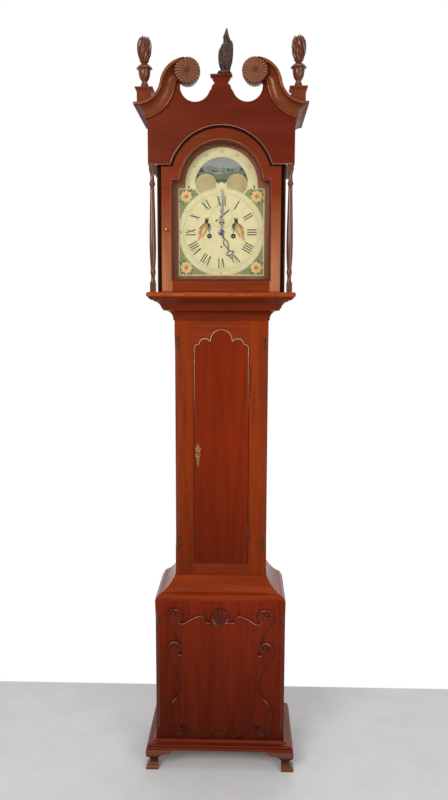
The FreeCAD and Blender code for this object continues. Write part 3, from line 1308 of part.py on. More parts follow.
def plates_and_pillars():
    """Front plate, back plate, the pillars between them and the minute wheel's stud."""
    low = HAND_Z - PLATE_BELOW
    high = HAND_Z + PLATE_ABOVE
    plates = []
    for d0 in (PLATE_FRONT_INNER, PLATE_BACK):
        plate = block(-PLATE_HALF, PLATE_HALF, d0, d0 + PLATE, low, high)
        for x, z, radius in arbor_holes():
            plate = plate.cut(drum(x, z, d0 - OVERCUT, d0 + PLATE + OVERCUT, radius + PIVOT_GAP))
        plates.append(plate)
    pillars = []
    for x, z in pillar_places():
        pillars.append(drum(x, z, BACK_PLATE, PLATE_FRONT_INNER, PILLAR_RADIUS))
    x, z = motion_place()
    stud = drum(x, z, FRONT_PLATE, HOUR_WHEEL_DEPTH + WHEEL + 3, 0.55 * ARBOR)
    return plates, pillars + [stud]


def dial_plate():
    """Iron dial with its holes and moon aperture, the moon's stud and the dial feet."""
    d0 = DIAL_DEPTH - DIAL_THICK
    d1 = DIAL_DEPTH
    plate = dial_opening(0.0, d0, d1)
    moon_z = HAND_Z + MOON_LIFT
    window = drum(0, moon_z, d0 - OVERCUT, d1 + OVERCUT, APERTURE_RADIUS)
    top = moon_z + 2 * MOON_RADIUS
    window = window.common(block(-MOON_RADIUS, MOON_RADIUS, d0 - OVERCUT, d1 + OVERCUT, moon_z + 2, top))
    for side in (-1, 1):
        window = window.cut(drum(side * HUMP_X, moon_z, d0 - 2 * OVERCUT, d1 + 2 * OVERCUT, HUMP_RADIUS))
    window = window.cut(drum(0, moon_z, d0 - 2 * OVERCUT, d1 + 2 * OVERCUT, NIB_RADIUS))
    plate = plate.cut(window)
    holes = [(0, HAND_Z, HOUR_PIPE + 1), (0, HAND_Z + SECONDS_LIFT, 3.0)]
    for side in (-1, 1):
        holes.append((side * WINDING_X, WINDING_Z, WINDING_ARBOR + 3))
    for x, z, radius in holes:
        plate = plate.cut(drum(x, z, d0 - OVERCUT, d1 + OVERCUT, radius))
    feet = []
    for x, z in feet_places():
        feet.append(drum(x, z, FRONT_PLATE, d0, DIAL_FOOT_RADIUS))
    stud = drum(0, moon_z, d0 - MOON_GAP - MOON_THICK - 1.5, d0, MOON_STUD)
    washer = drum(0, moon_z, d0 - MOON_GAP - MOON_THICK - 3, d0 - MOON_GAP - MOON_THICK - 0.5, 2 * MOON_STUD)
    return [plate, fused([stud, washer])] + feet


def moon_disc():
    """Toothed disc that carries the painted sky and the two moons."""
    z = HAND_Z + MOON_LIFT
    d1 = DIAL_DEPTH - DIAL_THICK - MOON_GAP
    module = 2 * MOON_RADIUS / (MOON_TEETH + 2)
    disc = toothed(0, z, d1 - MOON_THICK, d1, MOON_TEETH, module, (1.0, 1.0, 0.6, 0.2), 0.0)
    return disc.cut(drum(0, z, 0, HOOD_DEPTH, MOON_STUD + PIVOT_GAP))


def back_cock():
    """Bridge behind the back plate that carries the pallet arbor and hangs the pendulum."""
    front = PLATE_BACK
    face = front - 10
    z = PIVOT_Z
    back = PENDULUM_DEPTH - 10
    parts = [block(-32, 32, face - 4, face, z - 12, z + 16)]
    for side in (-1, 1):
        x = side * 28
        parts.append(block(x - 4, x + 4, face - 4, front, z - 12, z + 16))
    parts.append(block(-9, 9, back, face, z + 9, z + 16))
    for lug in (PENDULUM_DEPTH + 6, PENDULUM_DEPTH - 10):
        parts.append(block(-9, 9, lug, lug + 4, z - 9, z + 16))
    cock = fused(parts)
    cock = cock.cut(drum(0, z, face - 4 - OVERCUT, face + OVERCUT, ARBOR + PIVOT_GAP))
    return cock.cut(drum(0, z, back - OVERCUT, PENDULUM_DEPTH + 10 + OVERCUT, STUD_RADIUS + PIVOT_GAP))


def pallets():
    """Pallet arbor with its anchor and the crutch that reaches back to the rod."""
    z = PIVOT_Z
    reach = ESCAPE_RADIUS + NIB_CLEARANCE
    escape_z = HAND_Z + SECONDS_LIFT
    d0 = ESCAPE_WHEEL_DEPTH
    arbor = drum(0, z, PLATE_BACK - 13, FRONT_PLATE, ARBOR)
    nib = (0.65 * reach, escape_z + 0.79 * reach)
    outer = (nib[0] + 3, nib[1] + 2)
    steps = [(-outer[0], outer[1]), (-5, z + 4), (5, z + 4), outer, nib, (0, z - 3.2)]
    anchor = upright((-nib[0], nib[1]), steps, d0, d0 + WHEEL)
    fork_z = z - CRUTCH_LENGTH
    arm_back = PLATE_BACK - 5
    arm = block(-2.5, 2.5, arm_back, arm_back + 3, fork_z - 3, z)
    hub = drum(0, z, arm_back, arm_back + 3, 6)
    cross = block(-9, 9, arm_back, arm_back + 3, fork_z - 3, fork_z + 3)
    parts = [arbor, anchor, arm, hub, cross]
    for side in (-1, 1):
        x = side * (ROD_RADIUS + FORK_GAP + FORK_PIN)
        parts.append(drum(x, fork_z, PENDULUM_DEPTH - 6, arm_back + 1, FORK_PIN))
    return fused(parts)


def pendulum():
    """Rod hung on its stud by a thin spring, with a rating nut; and the bob it carries."""
    d = PENDULUM_DEPTH
    stud = drum(0, PIVOT_Z, d - 9, d + 9, STUD_RADIUS)
    spring = block(-0.4, 0.4, d - 5, d + 5, PIVOT_Z - 40, PIVOT_Z)
    low = BOB_Z - BOB_RADIUS - 2 * NUT_HEIGHT
    rod = post(0, d, low, PIVOT_Z - 36, ROD_RADIUS)
    block_top = block(-4, 4, d - 6, d + 6, PIVOT_Z - 46, PIVOT_Z - 34)
    whole = fused([stud, spring, rod, block_top])
    nut = turned((ROD_RADIUS, 0), [(NUT_RADIUS, 0), (NUT_RADIUS, NUT_HEIGHT), (ROD_RADIUS, NUT_HEIGHT)], 0, d,
                 BOB_Z - BOB_RADIUS - NUT_HEIGHT)
    half = BOB_THICK / 2
    face = turned_y((0, 0), [(BOB_RADIUS, 0), (BOB_RADIUS, 1.5), dome(BOB_RADIUS, 1.5, half)], 0, d, BOB_Z)
    bob = fused([face, face.mirror(Vector(0, depth(d), 0), Vector(0, 1, 0))])
    bob = bob.cut(post(0, d, BOB_Z - 2 * BOB_RADIUS, BOB_Z + 2 * BOB_RADIUS, ROD_RADIUS))
    return [whole, nut], [bob]


def weight(side):
    """Cased weight with the stirrup and pin of its pulley."""
    x = side * WEIGHT_X
    r = WEIGHT_RADIUS
    h = WEIGHT_HEIGHT
    steps = [(r - 4, 0), (r, 4), (r, h - 6), (r - 6, h), (3, h), (3, h + 8), (0, h + 8)]
    body = turned((0, 0), steps, x, LINE_DEPTH, WEIGHT_LOW)
    inner = 0.5 * PULLEY_WIDTH + PULLEY_GAP
    parts = [body, block(x - 6, x + 6, LINE_DEPTH - inner - STIRRUP, LINE_DEPTH + inner + STIRRUP,
                         WEIGHT_LOW + h + 6, WEIGHT_LOW + h + 10)]
    for d0 in (LINE_DEPTH - inner - STIRRUP, LINE_DEPTH + inner):
        parts.append(block(x - 6, x + 6, d0, d0 + STIRRUP, WEIGHT_LOW + h + 6, PULLEY_Z + 6))
    parts.append(drum(x, PULLEY_Z, LINE_DEPTH - inner - STIRRUP, LINE_DEPTH + inner + STIRRUP, ARBOR))
    return fused(parts)


def pulley(side):
    """Grooved pulley that rides in the bight of the line."""
    x = side * WEIGHT_X
    half = 0.5 * PULLEY_WIDTH
    groove = PULLEY_RADIUS
    rim = groove + PULLEY_RIM
    bore = ARBOR + PIVOT_GAP
    steps = [(rim, -half), (rim, -half + 1.5), (groove, -1.4), (groove, 1.4), (rim, half - 1.5)]
    steps += [(rim, half), (bore, half)]
    return turned_y((bore, -half), steps, x, LINE_DEPTH, PULLEY_Z)


def gut_line(side):
    """Line from the barrel, round the pulley and up to a knot on the seatboard."""
    outer = side * LINE_OUTER
    inner = side * (LINE_OUTER - 2 * LINE_LOOP)
    x = side * WEIGHT_X
    run = post(outer, LINE_DEPTH, PULLEY_Z, WINDING_Z, LINE_RADIUS)
    rise = post(inner, LINE_DEPTH, PULLEY_Z, SEAT_Z, LINE_RADIUS)
    ring = Part.makeTorus(LINE_LOOP, LINE_RADIUS, Vector(x, depth(LINE_DEPTH), PULLEY_Z), Vector(0, 1, 0))
    wide = 2 * LINE_LOOP
    below = block(x - wide, x + wide, LINE_DEPTH - 5, LINE_DEPTH + 5, PULLEY_Z - wide, PULLEY_Z)
    knot = post(inner, LINE_DEPTH, SEAT_Z, SEAT_Z + 5, 3.0)
    return fused([run, ring.common(below), rise, knot])


def bell_and_stand():
    """Bell over the movement, on a strap from the back plate."""
    z = HAND_Z + PLATE_ABOVE + BELL_LIFT
    r = BELL_RADIUS
    h = BELL_HEIGHT
    w = BELL_WALL
    lean = 0.7071
    steps = [(r, 0), (r * lean + 4, h * lean, 3, h), (3, h - w), ((r - w) * lean + 4, (h - w) * lean, r - w, 0)]
    bell = turned((r - w, 0), steps, 0, BELL_DEPTH, z)
    top = z + h + 4
    parts = [block(-6, 6, PLATE_BACK - 3, PLATE_BACK, HAND_Z + PLATE_ABOVE - 18, top + 4)]
    parts.append(block(-6, 6, PLATE_BACK - 3, BELL_DEPTH + 6, top, top + 4))
    parts.append(post(0, BELL_DEPTH, z + h - w, top, 3))
    parts.append(post(0, BELL_DEPTH, z + h, top, 6))
    return [bell, fused(parts).cut(bell)]


def hammer():
    """Hammer on its arbor, standing just off the bell's rim."""
    z = HAND_Z + PLATE_ABOVE - 20
    top = HAND_Z + PLATE_ABOVE + BELL_LIFT + 6
    head_x = BELL_RADIUS + HAMMER_GAP
    arbor = drum(HAMMER_X, z, PLATE_BACK, FRONT_PLATE, ARBOR)
    arm_x = head_x + HAMMER_HEAD
    d0 = BELL_DEPTH - 2
    steps = [(HAMMER_X + 3, z), (arm_x + 3, top - 12), (arm_x + 2, top), (arm_x - 2, top), (arm_x - 3, top - 12)]
    arm = upright((HAMMER_X - 3, z), steps, d0, d0 + 4)
    face = Vector(head_x, depth(BELL_DEPTH), top)
    head = Part.makeCylinder(0.75 * HAMMER_HEAD, 2 * HAMMER_HEAD, face, Vector(1, 0, 0))
    return fused([arbor, arm, head])


def build_movement():
    """Frame, dial, escapement, pendulum, weights and bell."""
    plates, pillars = plates_and_pillars()
    rod, bob = pendulum()
    save("movement_frame", plates + pillars)
    save("dial_plate", dial_plate())
    save("moon_disc", [moon_disc()])
    save("back_cock", [back_cock()])
    save("pallets_and_crutch", [pallets()])
    save("pendulum_rod", rod)
    save("pendulum_bob", bob)
    for name, side in (("going", -1), ("strike", 1)):
        save(name + "_weight", [weight(side)])
        save(name + "_pulley", [pulley(side)])
        save(name + "_line", [gut_line(side)])
    save("bell", bell_and_stand())
    save("bell_hammer", [hammer()])


os.makedirs("parts", exist_ok=True)
build_base()
build_trunk()
build_hood()
build_hood_door()
build_going_train()
build_motion_work()
build_movement()
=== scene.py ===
"""Looks of a tall case clock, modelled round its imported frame.

Sizes are in millimetres and turn into metres where a mesh is made.
"""

import logging
import math
from dataclasses import dataclass
from enum import Enum
from typing import Callable, Sequence

import bpy
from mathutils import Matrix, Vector


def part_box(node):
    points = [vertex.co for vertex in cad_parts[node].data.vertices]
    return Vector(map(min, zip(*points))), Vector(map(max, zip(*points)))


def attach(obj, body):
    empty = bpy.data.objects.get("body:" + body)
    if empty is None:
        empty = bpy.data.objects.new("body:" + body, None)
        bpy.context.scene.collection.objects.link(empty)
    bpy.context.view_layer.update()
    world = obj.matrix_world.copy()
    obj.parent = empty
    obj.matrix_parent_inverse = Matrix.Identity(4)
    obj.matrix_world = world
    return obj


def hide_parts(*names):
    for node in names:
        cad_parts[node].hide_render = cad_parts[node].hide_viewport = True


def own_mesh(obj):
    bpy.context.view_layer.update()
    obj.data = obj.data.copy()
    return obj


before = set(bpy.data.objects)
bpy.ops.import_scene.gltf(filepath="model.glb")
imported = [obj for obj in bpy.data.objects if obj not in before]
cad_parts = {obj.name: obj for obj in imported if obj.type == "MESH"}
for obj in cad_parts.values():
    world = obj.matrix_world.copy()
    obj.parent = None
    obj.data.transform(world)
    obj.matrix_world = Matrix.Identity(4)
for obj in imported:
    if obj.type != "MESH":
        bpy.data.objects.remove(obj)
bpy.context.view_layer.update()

MM = 0.001
X_AXIS, Z_AXIS = 0, 2
SIDES = (-1, 1)
FULL_TURN = 360.0
SMOOTH_ANGLE = math.radians(38)
TYPE_HALF = 0.06
Colour = tuple[float, float, float]
Point = tuple[float, float]
Place = tuple[float, float, float]
Profile = tuple[Point, ...]
Table = tuple[tuple[float, ...], ...]
Socket = bpy.types.NodeSocket
Piece = bpy.types.Object
EVEN: Place = (1.0, 1.0, 1.0)
BLACK: Colour = (0.0, 0.0, 0.0)
WHITE: Colour = (1.0, 1.0, 1.0)
log = logging.getLogger("tall_case_clock")


def grey(share: float) -> Colour:
    """Grey of one strength."""
    return (share, share, share)


class Grain(Enum):
    """Direction of the wood's grain, as the scale of its pattern on each axis."""

    UPRIGHT = (26.0, 26.0, 1.7)
    ACROSS = (1.7, 26.0, 26.0)
    DEEP = (26.0, 1.7, 26.0)


class Axis(Enum):
    """Direction in which a turned piece grows."""

    UP = (0.0, 0.0, 1.0)
    FRONT = (0.0, -1.0, 0.0)


class Shader:
    """Node tree of one finish."""

    def __init__(self, name: str) -> None:
        """Make an empty material with one shader."""
        self.material = bpy.data.materials.new(name)
        self.material.use_nodes = True
        self.tree = self.material.node_tree
        self.tree.nodes.clear()
        self.bsdf = self.node("ShaderNodeBsdfPrincipled")
        output = self.node("ShaderNodeOutputMaterial")
        self.tree.links.new(self.bsdf.outputs[0], output.inputs[0])
        self.object_coords = self.node("ShaderNodeTexCoord").outputs["Object"]

    def node(self, kind: str, **values: object) -> bpy.types.Node:
        """Add a node and set the sockets named by the keywords, spaces written as underscores."""
        node = self.tree.nodes.new(kind)
        for key, value in values.items():
            node.inputs[key.replace("_", " ")].default_value = value
        return node

    def set(self, **values: object) -> None:
        """Set sockets of the shader itself."""
        for key, value in values.items():
            self.bsdf.inputs[key.replace("_", " ")].default_value = value

    def feed(self, socket: Socket, name: str) -> None:
        """Link a socket to one of the shader's inputs."""
        self.tree.links.new(socket, self.bsdf.inputs[name])

    def coords(self, scale: Place) -> Socket:
        """Object coordinates times a scale."""
        mapping = self.node("ShaderNodeMapping", Scale=scale)
        self.tree.links.new(self.object_coords, mapping.inputs["Vector"])
        return mapping.outputs[0]

    def noise(self, scale: Place, size: float, detail: float, rough: float = 0.55) -> Socket:
        """Noise on scaled object coordinates.

        Args:
            scale: Stretch of the pattern on each axis.
            size: Scale of the noise.
            detail: Octaves.
            rough: Weight of the finer octaves.

        Returns:
            The noise's value socket.
        """
        node = self.node("ShaderNodeTexNoise", Scale=size, Detail=detail, Roughness=rough)
        self.tree.links.new(self.coords(scale), node.inputs["Vector"])
        return node.outputs[0]

    def ramp(self, value: Socket, stops: Sequence[tuple[float, Colour]]) -> Socket:
        """Colours along a value."""
        node = self.node("ShaderNodeValToRGB")
        elements = node.color_ramp.elements
        while len(elements) < len(stops):
            elements.new(0.5)
        for element, (place, colour) in zip(elements, stops):
            element.position = place
            element.color = (*colour, 1.0)
        self.tree.links.new(value, node.inputs[0])
        return node.outputs[0]

    def mix(self, mode: str, share: object, low: Socket, high: object) -> Socket:
        """Blend two colours.

        Args:
            mode: Blend type.
            share: Factor, a number or a socket.
            low: Socket of the first colour.
            high: Second colour, a socket or three numbers.

        Returns:
            The blended colour's socket.
        """
        node = self.node("ShaderNodeMix")
        node.data_type = "RGBA"
        node.blend_type = mode
        for index, item in ((0, share), (6, low), (7, high)):
            if isinstance(item, Socket):
                self.tree.links.new(item, node.inputs[index])
            else:
                node.inputs[index].default_value = item if index == 0 else (*item, 1.0)
        return node.outputs[2]

    def level(self, axis: int) -> Socket:
        """One object coordinate, counted from X."""
        parts = self.node("ShaderNodeSeparateXYZ")
        self.tree.links.new(self.object_coords, parts.inputs[0])
        return parts.outputs[axis]

    def math(self, work: str, value: Socket, other: object = 0.0) -> Socket:
        """One sum on a value, with a number or another socket."""
        node = self.node("ShaderNodeMath")
        node.operation = work
        self.tree.links.new(value, node.inputs[0])
        if isinstance(other, Socket):
            self.tree.links.new(other, node.inputs[1])
        else:
            node.inputs[1].default_value = other
        return node.outputs[0]

    def beyond(self, half: float) -> Socket:
        """One where a point lies further than this from the middle of the clock, else nought."""
        return self.math("GREATER_THAN", self.math("ABSOLUTE", self.level(X_AXIS)), half * MM)

    def climb(self, low: float, high: float) -> Socket:
        """Share of the way between two heights, held between nought and one."""
        node = self.node("ShaderNodeMapRange", From_Min=low * MM, From_Max=high * MM)
        self.tree.links.new(self.level(Z_AXIS), node.inputs[0])
        return node.outputs[0]

    def off(self, z: float) -> Socket:
        """Distance of a point above or below one height."""
        return self.math("ABSOLUTE", self.math("SUBTRACT", self.level(Z_AXIS), z * MM))

    def dim(self, colour: Socket, value: Socket, first: float, share: float) -> Socket:
        """Darken a colour to a share of it up to a first value, and less and less from there to one."""
        return self.mix("MULTIPLY", 1.0, colour, self.ramp(value, [(first, grey(share)), (1.0, WHITE)]))

    def span(self, noise: Socket, low: float, high: float, name: str) -> None:
        """Feed the middle run of a noise, spread between two limits, to one of the shader's inputs."""
        node = self.node("ShaderNodeMapRange", From_Min=0.3, From_Max=0.7, To_Min=low, To_Max=high)
        self.tree.links.new(noise, node.inputs[0])
        self.feed(node.outputs[0], name)

    def bump(self, height: Socket, strength: float, distance: float) -> None:
        """Raise the surface by a value, over a distance in millimetres."""
        node = self.node("ShaderNodeBump", Strength=strength, Distance=distance * MM)
        self.tree.links.new(height, node.inputs["Height"])
        self.feed(node.outputs[0], "Normal")


@dataclass(frozen=True)
class Finish:
    """Look of a surface, made as a material when it is first asked for."""

    name: str

    def draw(self, shader: Shader) -> None:
        """Add the nodes of the finish to an empty shader."""
        raise NotImplementedError

    def material(self) -> bpy.types.Material:
        """Make the material, or find it once made."""
        known = bpy.data.materials.get(self.name)
        if known:
            return known
        shader = Shader(self.name)
        self.draw(shader)
        return shader.material


CLOUD_TONE: Colour = (0.72, 0.66, 0.62)
PORE_TONE: Colour = (0.55, 0.46, 0.42)
FLECK_TONE: Colour = (0.34, 0.080, 0.012)
FLECK_SCALE: Place = (70.0, 70.0, 26.0)
WORN_TONE: Colour = (0.36, 0.17, 0.045)
WORN_SCALE: Place = (9.0, 9.0, 60.0)
WORN_HALF = 2.6


@dataclass(frozen=True)
class Wood(Finish):
    """Polished or plain wood with streaks, pores and broad changes of tone.

    A framed piece has rails of a tone of their own, with their grain across, inside the half width where
    they meet the stiles; the stiles may take that tone too above two levels. A worn piece shows its bare
    ground along one level. A shaded piece has painted shade: it darkens from one level down to another, to
    a share of its tone. A piece with a shade band has painted shade in a dark band round one level, of a
    half height and a share of its tone.
    """

    tone: Colour
    grain: Grain
    swing: float = 0.26
    rough: float = 0.24
    gloss: float = 0.22
    rail_tone: Colour | None = None
    meet: float = 0.0
    fade: Point | None = None
    worn_z: float = 0.0
    shade: Place | None = None
    hollow: Place | None = None
    fleck: float = 0.0
    tint: Colour = (1.0, 0.40, 0.20)

    @staticmethod
    def along(
        shader: Shader, grain: Grain, share: float, size: float, detail: float, rough: float = 0.55,
    ) -> Socket:
        """Noise that follows the grain.

        Args:
            shader: Shader to add the nodes to.
            grain: Direction of the grain.
            share: Fineness against the grain's own scale.
            size: Scale of the noise.
            detail: Octaves.
            rough: Weight of the finer octaves.

        Returns:
            The noise's value socket.
        """
        return shader.noise(tuple(share * part for part in grain.value), size, detail, rough)

    def pores(self, shader: Shader, grain: Grain) -> Socket:
        """Fine noise of the pores along the grain."""
        return self.along(shader, grain, 11.0, 2.6, 2.0)

    def figure(self, shader: Shader, tone: Colour, grain: Grain) -> Socket:
        """Colour of wood of one tone, with its grain one way.

        Args:
            shader: Shader to add the nodes to.
            tone: Middle colour.
            grain: Direction of the grain.

        Returns:
            The colour's socket.
        """
        low = tuple(part * (1.0 - self.swing) for part in tone)
        high = tuple(part * (1.0 + self.swing) for part in tone)
        streak = self.along(shader, grain, 1.0, 2.3, 7.0, 0.60)
        colour = shader.ramp(streak, [(0.30, low), (0.50, tone), (0.72, high)])
        broad = self.along(shader, grain, 0.15, 1.9, 3.0)
        cloud = shader.ramp(broad, [(0.34, CLOUD_TONE), (0.60, WHITE)])
        colour = shader.mix("MULTIPLY", 0.8, colour, cloud)
        pit = shader.ramp(self.pores(shader, grain), [(0.58, WHITE), (0.72, PORE_TONE)])
        return shader.mix("MULTIPLY", 0.45, colour, pit)

    def draw(self, shader: Shader) -> None:
        """Add the colour, the polish and the pores."""
        colour = self.figure(shader, self.tone, self.grain)
        if self.rail_tone:
            rail = self.figure(shader, self.rail_tone, Grain.ACROSS)
            share = shader.beyond(self.meet)
            if self.fade:
                full_z, gone_z = self.fade
                share = shader.math("MULTIPLY", share, shader.climb(gone_z, full_z))
            colour = shader.mix("MIX", share, rail, colour)
        if self.fleck:
            speck = shader.noise(FLECK_SCALE, 2.4, 4.0, 0.7)
            share = shader.ramp(speck, [(0.52, BLACK), (0.74, grey(self.fleck))])
            colour = shader.mix("MIX", share, colour, FLECK_TONE)
        if self.worn_z:
            near = shader.math("LESS_THAN", shader.off(self.worn_z), WORN_HALF * MM)
            patch = shader.ramp(shader.noise(WORN_SCALE, 3.0, 6.0, 0.7), [(0.50, BLACK), (0.66, grey(0.8))])
            colour = shader.mix("MIX", shader.math("MULTIPLY", near, patch), colour, WORN_TONE)
        # Painted shade: darker from one level to another, down to a share of the tone.
        if self.shade:
            low_z, high_z, share = self.shade
            colour = shader.dim(colour, shader.climb(low_z, high_z), 0.0, share)
        # Painted shade: a dark band round one level, of a half height.
        if self.hollow:
            middle_z, reach, share = self.hollow
            colour = shader.dim(colour, shader.math("DIVIDE", shader.off(middle_z), reach * MM), 0.5, share)
        shader.feed(colour, "Base Color")
        shader.span(shader.noise(EVEN, 7.0, 4.0), self.rough - 0.05, self.rough + 0.08, "Roughness")
        shader.set(Specular_IOR_Level=self.gloss, Specular_Tint=(*self.tint, 1.0))
        shader.bump(self.pores(shader, self.grain), 0.08, 0.3)


@dataclass(frozen=True)
class Metal(Finish):
    """Polished or aged metal with a faint cloudy tone."""

    bright: Colour
    dull: Colour
    rough: float

    def draw(self, shader: Shader) -> None:
        """Add the tone, the polish and a fine tooth."""
        cloud = shader.noise(EVEN, 60.0, 5.0, 0.6)
        shader.feed(shader.ramp(cloud, [(0.35, self.dull), (0.62, self.bright)]), "Base Color")
        shader.span(cloud, self.rough + 0.12, self.rough, "Roughness")
        shader.set(Metallic=1.0)
        shader.bump(shader.noise(EVEN, 900.0, 2.0), 0.04, 0.1)


@dataclass(frozen=True)
class Paint(Finish):
    """Old oil paint with a soft mottle and a fine tooth."""

    colour: Colour
    shade: Colour
    rough: float = 0.42
    size: float = 38.0

    def draw(self, shader: Shader) -> None:
        """Add the mottled colour, the sheen and the tooth."""
        mottle = shader.noise(EVEN, self.size, 6.0, 0.62)
        shader.feed(shader.ramp(mottle, [(0.34, self.shade), (0.60, self.colour)]), "Base Color")
        shader.span(mottle, self.rough + 0.1, self.rough, "Roughness")
        shader.set(Specular_IOR_Level=0.3)
        shader.bump(shader.noise(EVEN, 420.0, 3.0), 0.06, 0.2)


@dataclass(frozen=True)
class Pane(Finish):
    """Thin window glass, slightly uneven."""

    tint: Colour
    cover: float

    def draw(self, shader: Shader) -> None:
        """Add the tint, the ripple and the little that the glass covers."""
        ripple = shader.noise(EVEN, 9.0, 2.0)
        thick = tuple(1.3 * part for part in self.tint)
        shader.feed(shader.ramp(ripple, [(0.3, self.tint), (0.7, thick)]), "Base Color")
        shader.set(Roughness=0.03, Alpha=self.cover, Specular_IOR_Level=0.5)
        shader.bump(ripple, 0.05, 0.5)
        shader.material.surface_render_method = "BLENDED"


GLINT: Colour = (1.0, 0.78, 0.66)
# Woods have a tone, a grain, a swing of the tone, a roughness and a gloss, then what sets them apart
# Shade settings are painted shade: trunk, door and base darken towards the floor, the glazed door towards its
# arch.
TRUNK_WOOD = Wood("trunk_mahogany", (0.228, 0.029, 0.005), Grain.UPRIGHT, rail_tone=(0.212, 0.026, 0.006),
                  meet=100.0, fleck=0.45, shade=(720.0, 1240.0, 0.74))
DOOR_WOOD = Wood("door_mahogany", (0.205, 0.0175, 0.003), Grain.UPRIGHT, 0.18, fleck=0.14,
                 shade=(760.0, 1230.0, 0.54))
BASE_WOOD = Wood("base_mahogany", (0.172, 0.016, 0.005), Grain.UPRIGHT, shade=(120.0, 640.0, 0.42))
# Base carving: darker than the base's wood, as painted shade along the carving.
SHADED_CARVING = Wood("shaded_carving_mahogany", (0.115, 0.012, 0.004), Grain.UPRIGHT, 0.2, 0.13, 0.3,
                   shade=(120.0, 640.0, 0.5), tint=GLINT)
RAIL_WOOD = Wood("moulding_mahogany", (0.205, 0.023, 0.004), Grain.ACROSS)
PLINTH_WOOD = Wood("base_moulding_mahogany", (0.125, 0.016, 0.006), Grain.ACROSS, 0.2, 0.26, 0.3)
THROAT_WOOD = Wood("throat_mahogany", (0.155, 0.019, 0.005), Grain.ACROSS)
NOSE_WOOD = Wood("hood_base_mahogany", (0.350, 0.056, 0.011), Grain.ACROSS, worn_z=1768.0)
HOOD_WOOD = Wood("hood_mahogany", (0.116, 0.0135, 0.006), Grain.ACROSS, 0.2)
NECK_WOOD = Wood("neck_mahogany", (0.196, 0.041, 0.010), Grain.ACROSS, 0.2, 0.13, 0.2, tint=GLINT)
NECK_EDGE = Wood("neck_edge_mahogany", (0.205, 0.050, 0.015), Grain.ACROSS, 0.2, 0.13, 0.4, tint=GLINT)
CORNICE_WOOD = Wood("cornice_mahogany", (0.166, 0.036, 0.015), Grain.DEEP, 0.2, 0.5, 0.06)
STILE_WOOD = Wood("glazed_door_mahogany", (0.385, 0.140, 0.060), Grain.UPRIGHT, 0.2, 0.22, 0.3,
                  (0.210, 0.028, 0.008), 169.0, (1860.0, 2120.0), shade=(2280.0, 1980.0, 0.68))
COLUMN_WOOD = Wood("column_mahogany", (0.100, 0.023, 0.012), Grain.UPRIGHT, 0.2, 0.13, 0.5, tint=GLINT)
SIDE_WOOD = Wood("side_mahogany", (0.170, 0.021, 0.006), Grain.UPRIGHT)
FLAME_WOOD = Wood("flame_mahogany", (0.120, 0.028, 0.013), Grain.UPRIGHT, 0.2, 0.14, 0.38, tint=GLINT)
ROSETTE_WOOD = Wood("rosette_mahogany", (0.205, 0.064, 0.031), Grain.UPRIGHT, 0.12, 0.28, 0.3, tint=GLINT)
# Pale tone for lines of painted highlight on crests and ridges.
RIDGE_HIGHLIGHT_WOOD = Wood("ridge_highlight_mahogany", (0.430, 0.235, 0.145), Grain.UPRIGHT, 0.2, 0.3, 0.3, tint=GLINT)
# Feet: pinkish tone with painted reflection of the pale floor and wall, and painted shade at the ankle.
FOOT_SHEEN_WOOD = Wood("foot_sheen_and_shade_mahogany", (0.150, 0.048, 0.032), Grain.ACROSS, 0.2, 0.24, 0.4,
                 hollow=(37.0, 25.0, 0.26))
# Corner stops: near-black tone as painted shade in the carving.
STOP_SHADE_WOOD = Wood("stop_shaded_mahogany", (0.042, 0.009, 0.006), Grain.UPRIGHT, 0.2, 0.13, 0.5, tint=GLINT)
BEAD_WOOD = Wood("bead_mahogany", (0.125, 0.034, 0.016), Grain.ACROSS, 0.2, 0.34, 0.15)
# Pale glossy tone for lines of painted highlight along beads.
EDGE_HIGHLIGHT_WOOD = Wood("edge_mahogany", (0.270, 0.105, 0.060), Grain.ACROSS, 0.2, 0.14, 0.8, tint=GLINT)
# Door edge: pale painted highlight along the head, fading down to the door's red.
LIP_HIGHLIGHT_WOOD = Wood("lip_highlight_mahogany", (0.520, 0.290, 0.165), Grain.ACROSS, 0.5, 0.2, 0.25, (0.130, 0.013, 0.004),
                fade=(1600.0, 1330.0), tint=GLINT)
# Near-black painted shade for gaps, recesses and shaded sides, the keyhole's shadow too.
PAINTED_SHADE = Wood("painted_shade_dark", (0.014, 0.005, 0.003), Grain.UPRIGHT, 0.2, 0.5, 0.08)
BIRD_WOOD = Wood("bird_wood", (0.038, 0.018, 0.019), Grain.UPRIGHT, 0.3, 0.28, 0.3, tint=GLINT)
PINE = Wood("backing_pine", (0.270, 0.155, 0.070), Grain.UPRIGHT, 0.3, 0.55, 0.2)
CARCASE_WOOD = Wood("carcase_wood", (0.170, 0.021, 0.006), Grain.DEEP, 0.2, 0.5, 0.05, (0.270, 0.155, 0.070),
                    207.5)
# Dial mask: pale pinkish tone lightened with painted reflection.
MASK_SHEEN_WOOD = Wood("mask_sheen_wood", (0.330, 0.128, 0.064), Grain.UPRIGHT, 0.2, 0.4, 0.15)
# Metals have a bright and a dull tone and a roughness
BRASS = Metal("old_brass", (0.520, 0.330, 0.110), (0.300, 0.175, 0.055), 0.26)
KEY_BRASS = Metal("key_brass", (0.400, 0.215, 0.070), (0.200, 0.095, 0.032), 0.28)
DARK_BRASS = Metal("dark_brass", (0.095, 0.055, 0.034), (0.045, 0.027, 0.018), 0.42)
STEEL = Metal("grey_steel", (0.420, 0.420, 0.430), (0.270, 0.265, 0.260), 0.32)
BLUED = Metal("blued_steel", (0.128, 0.124, 0.134), (0.058, 0.055, 0.062), 0.36)
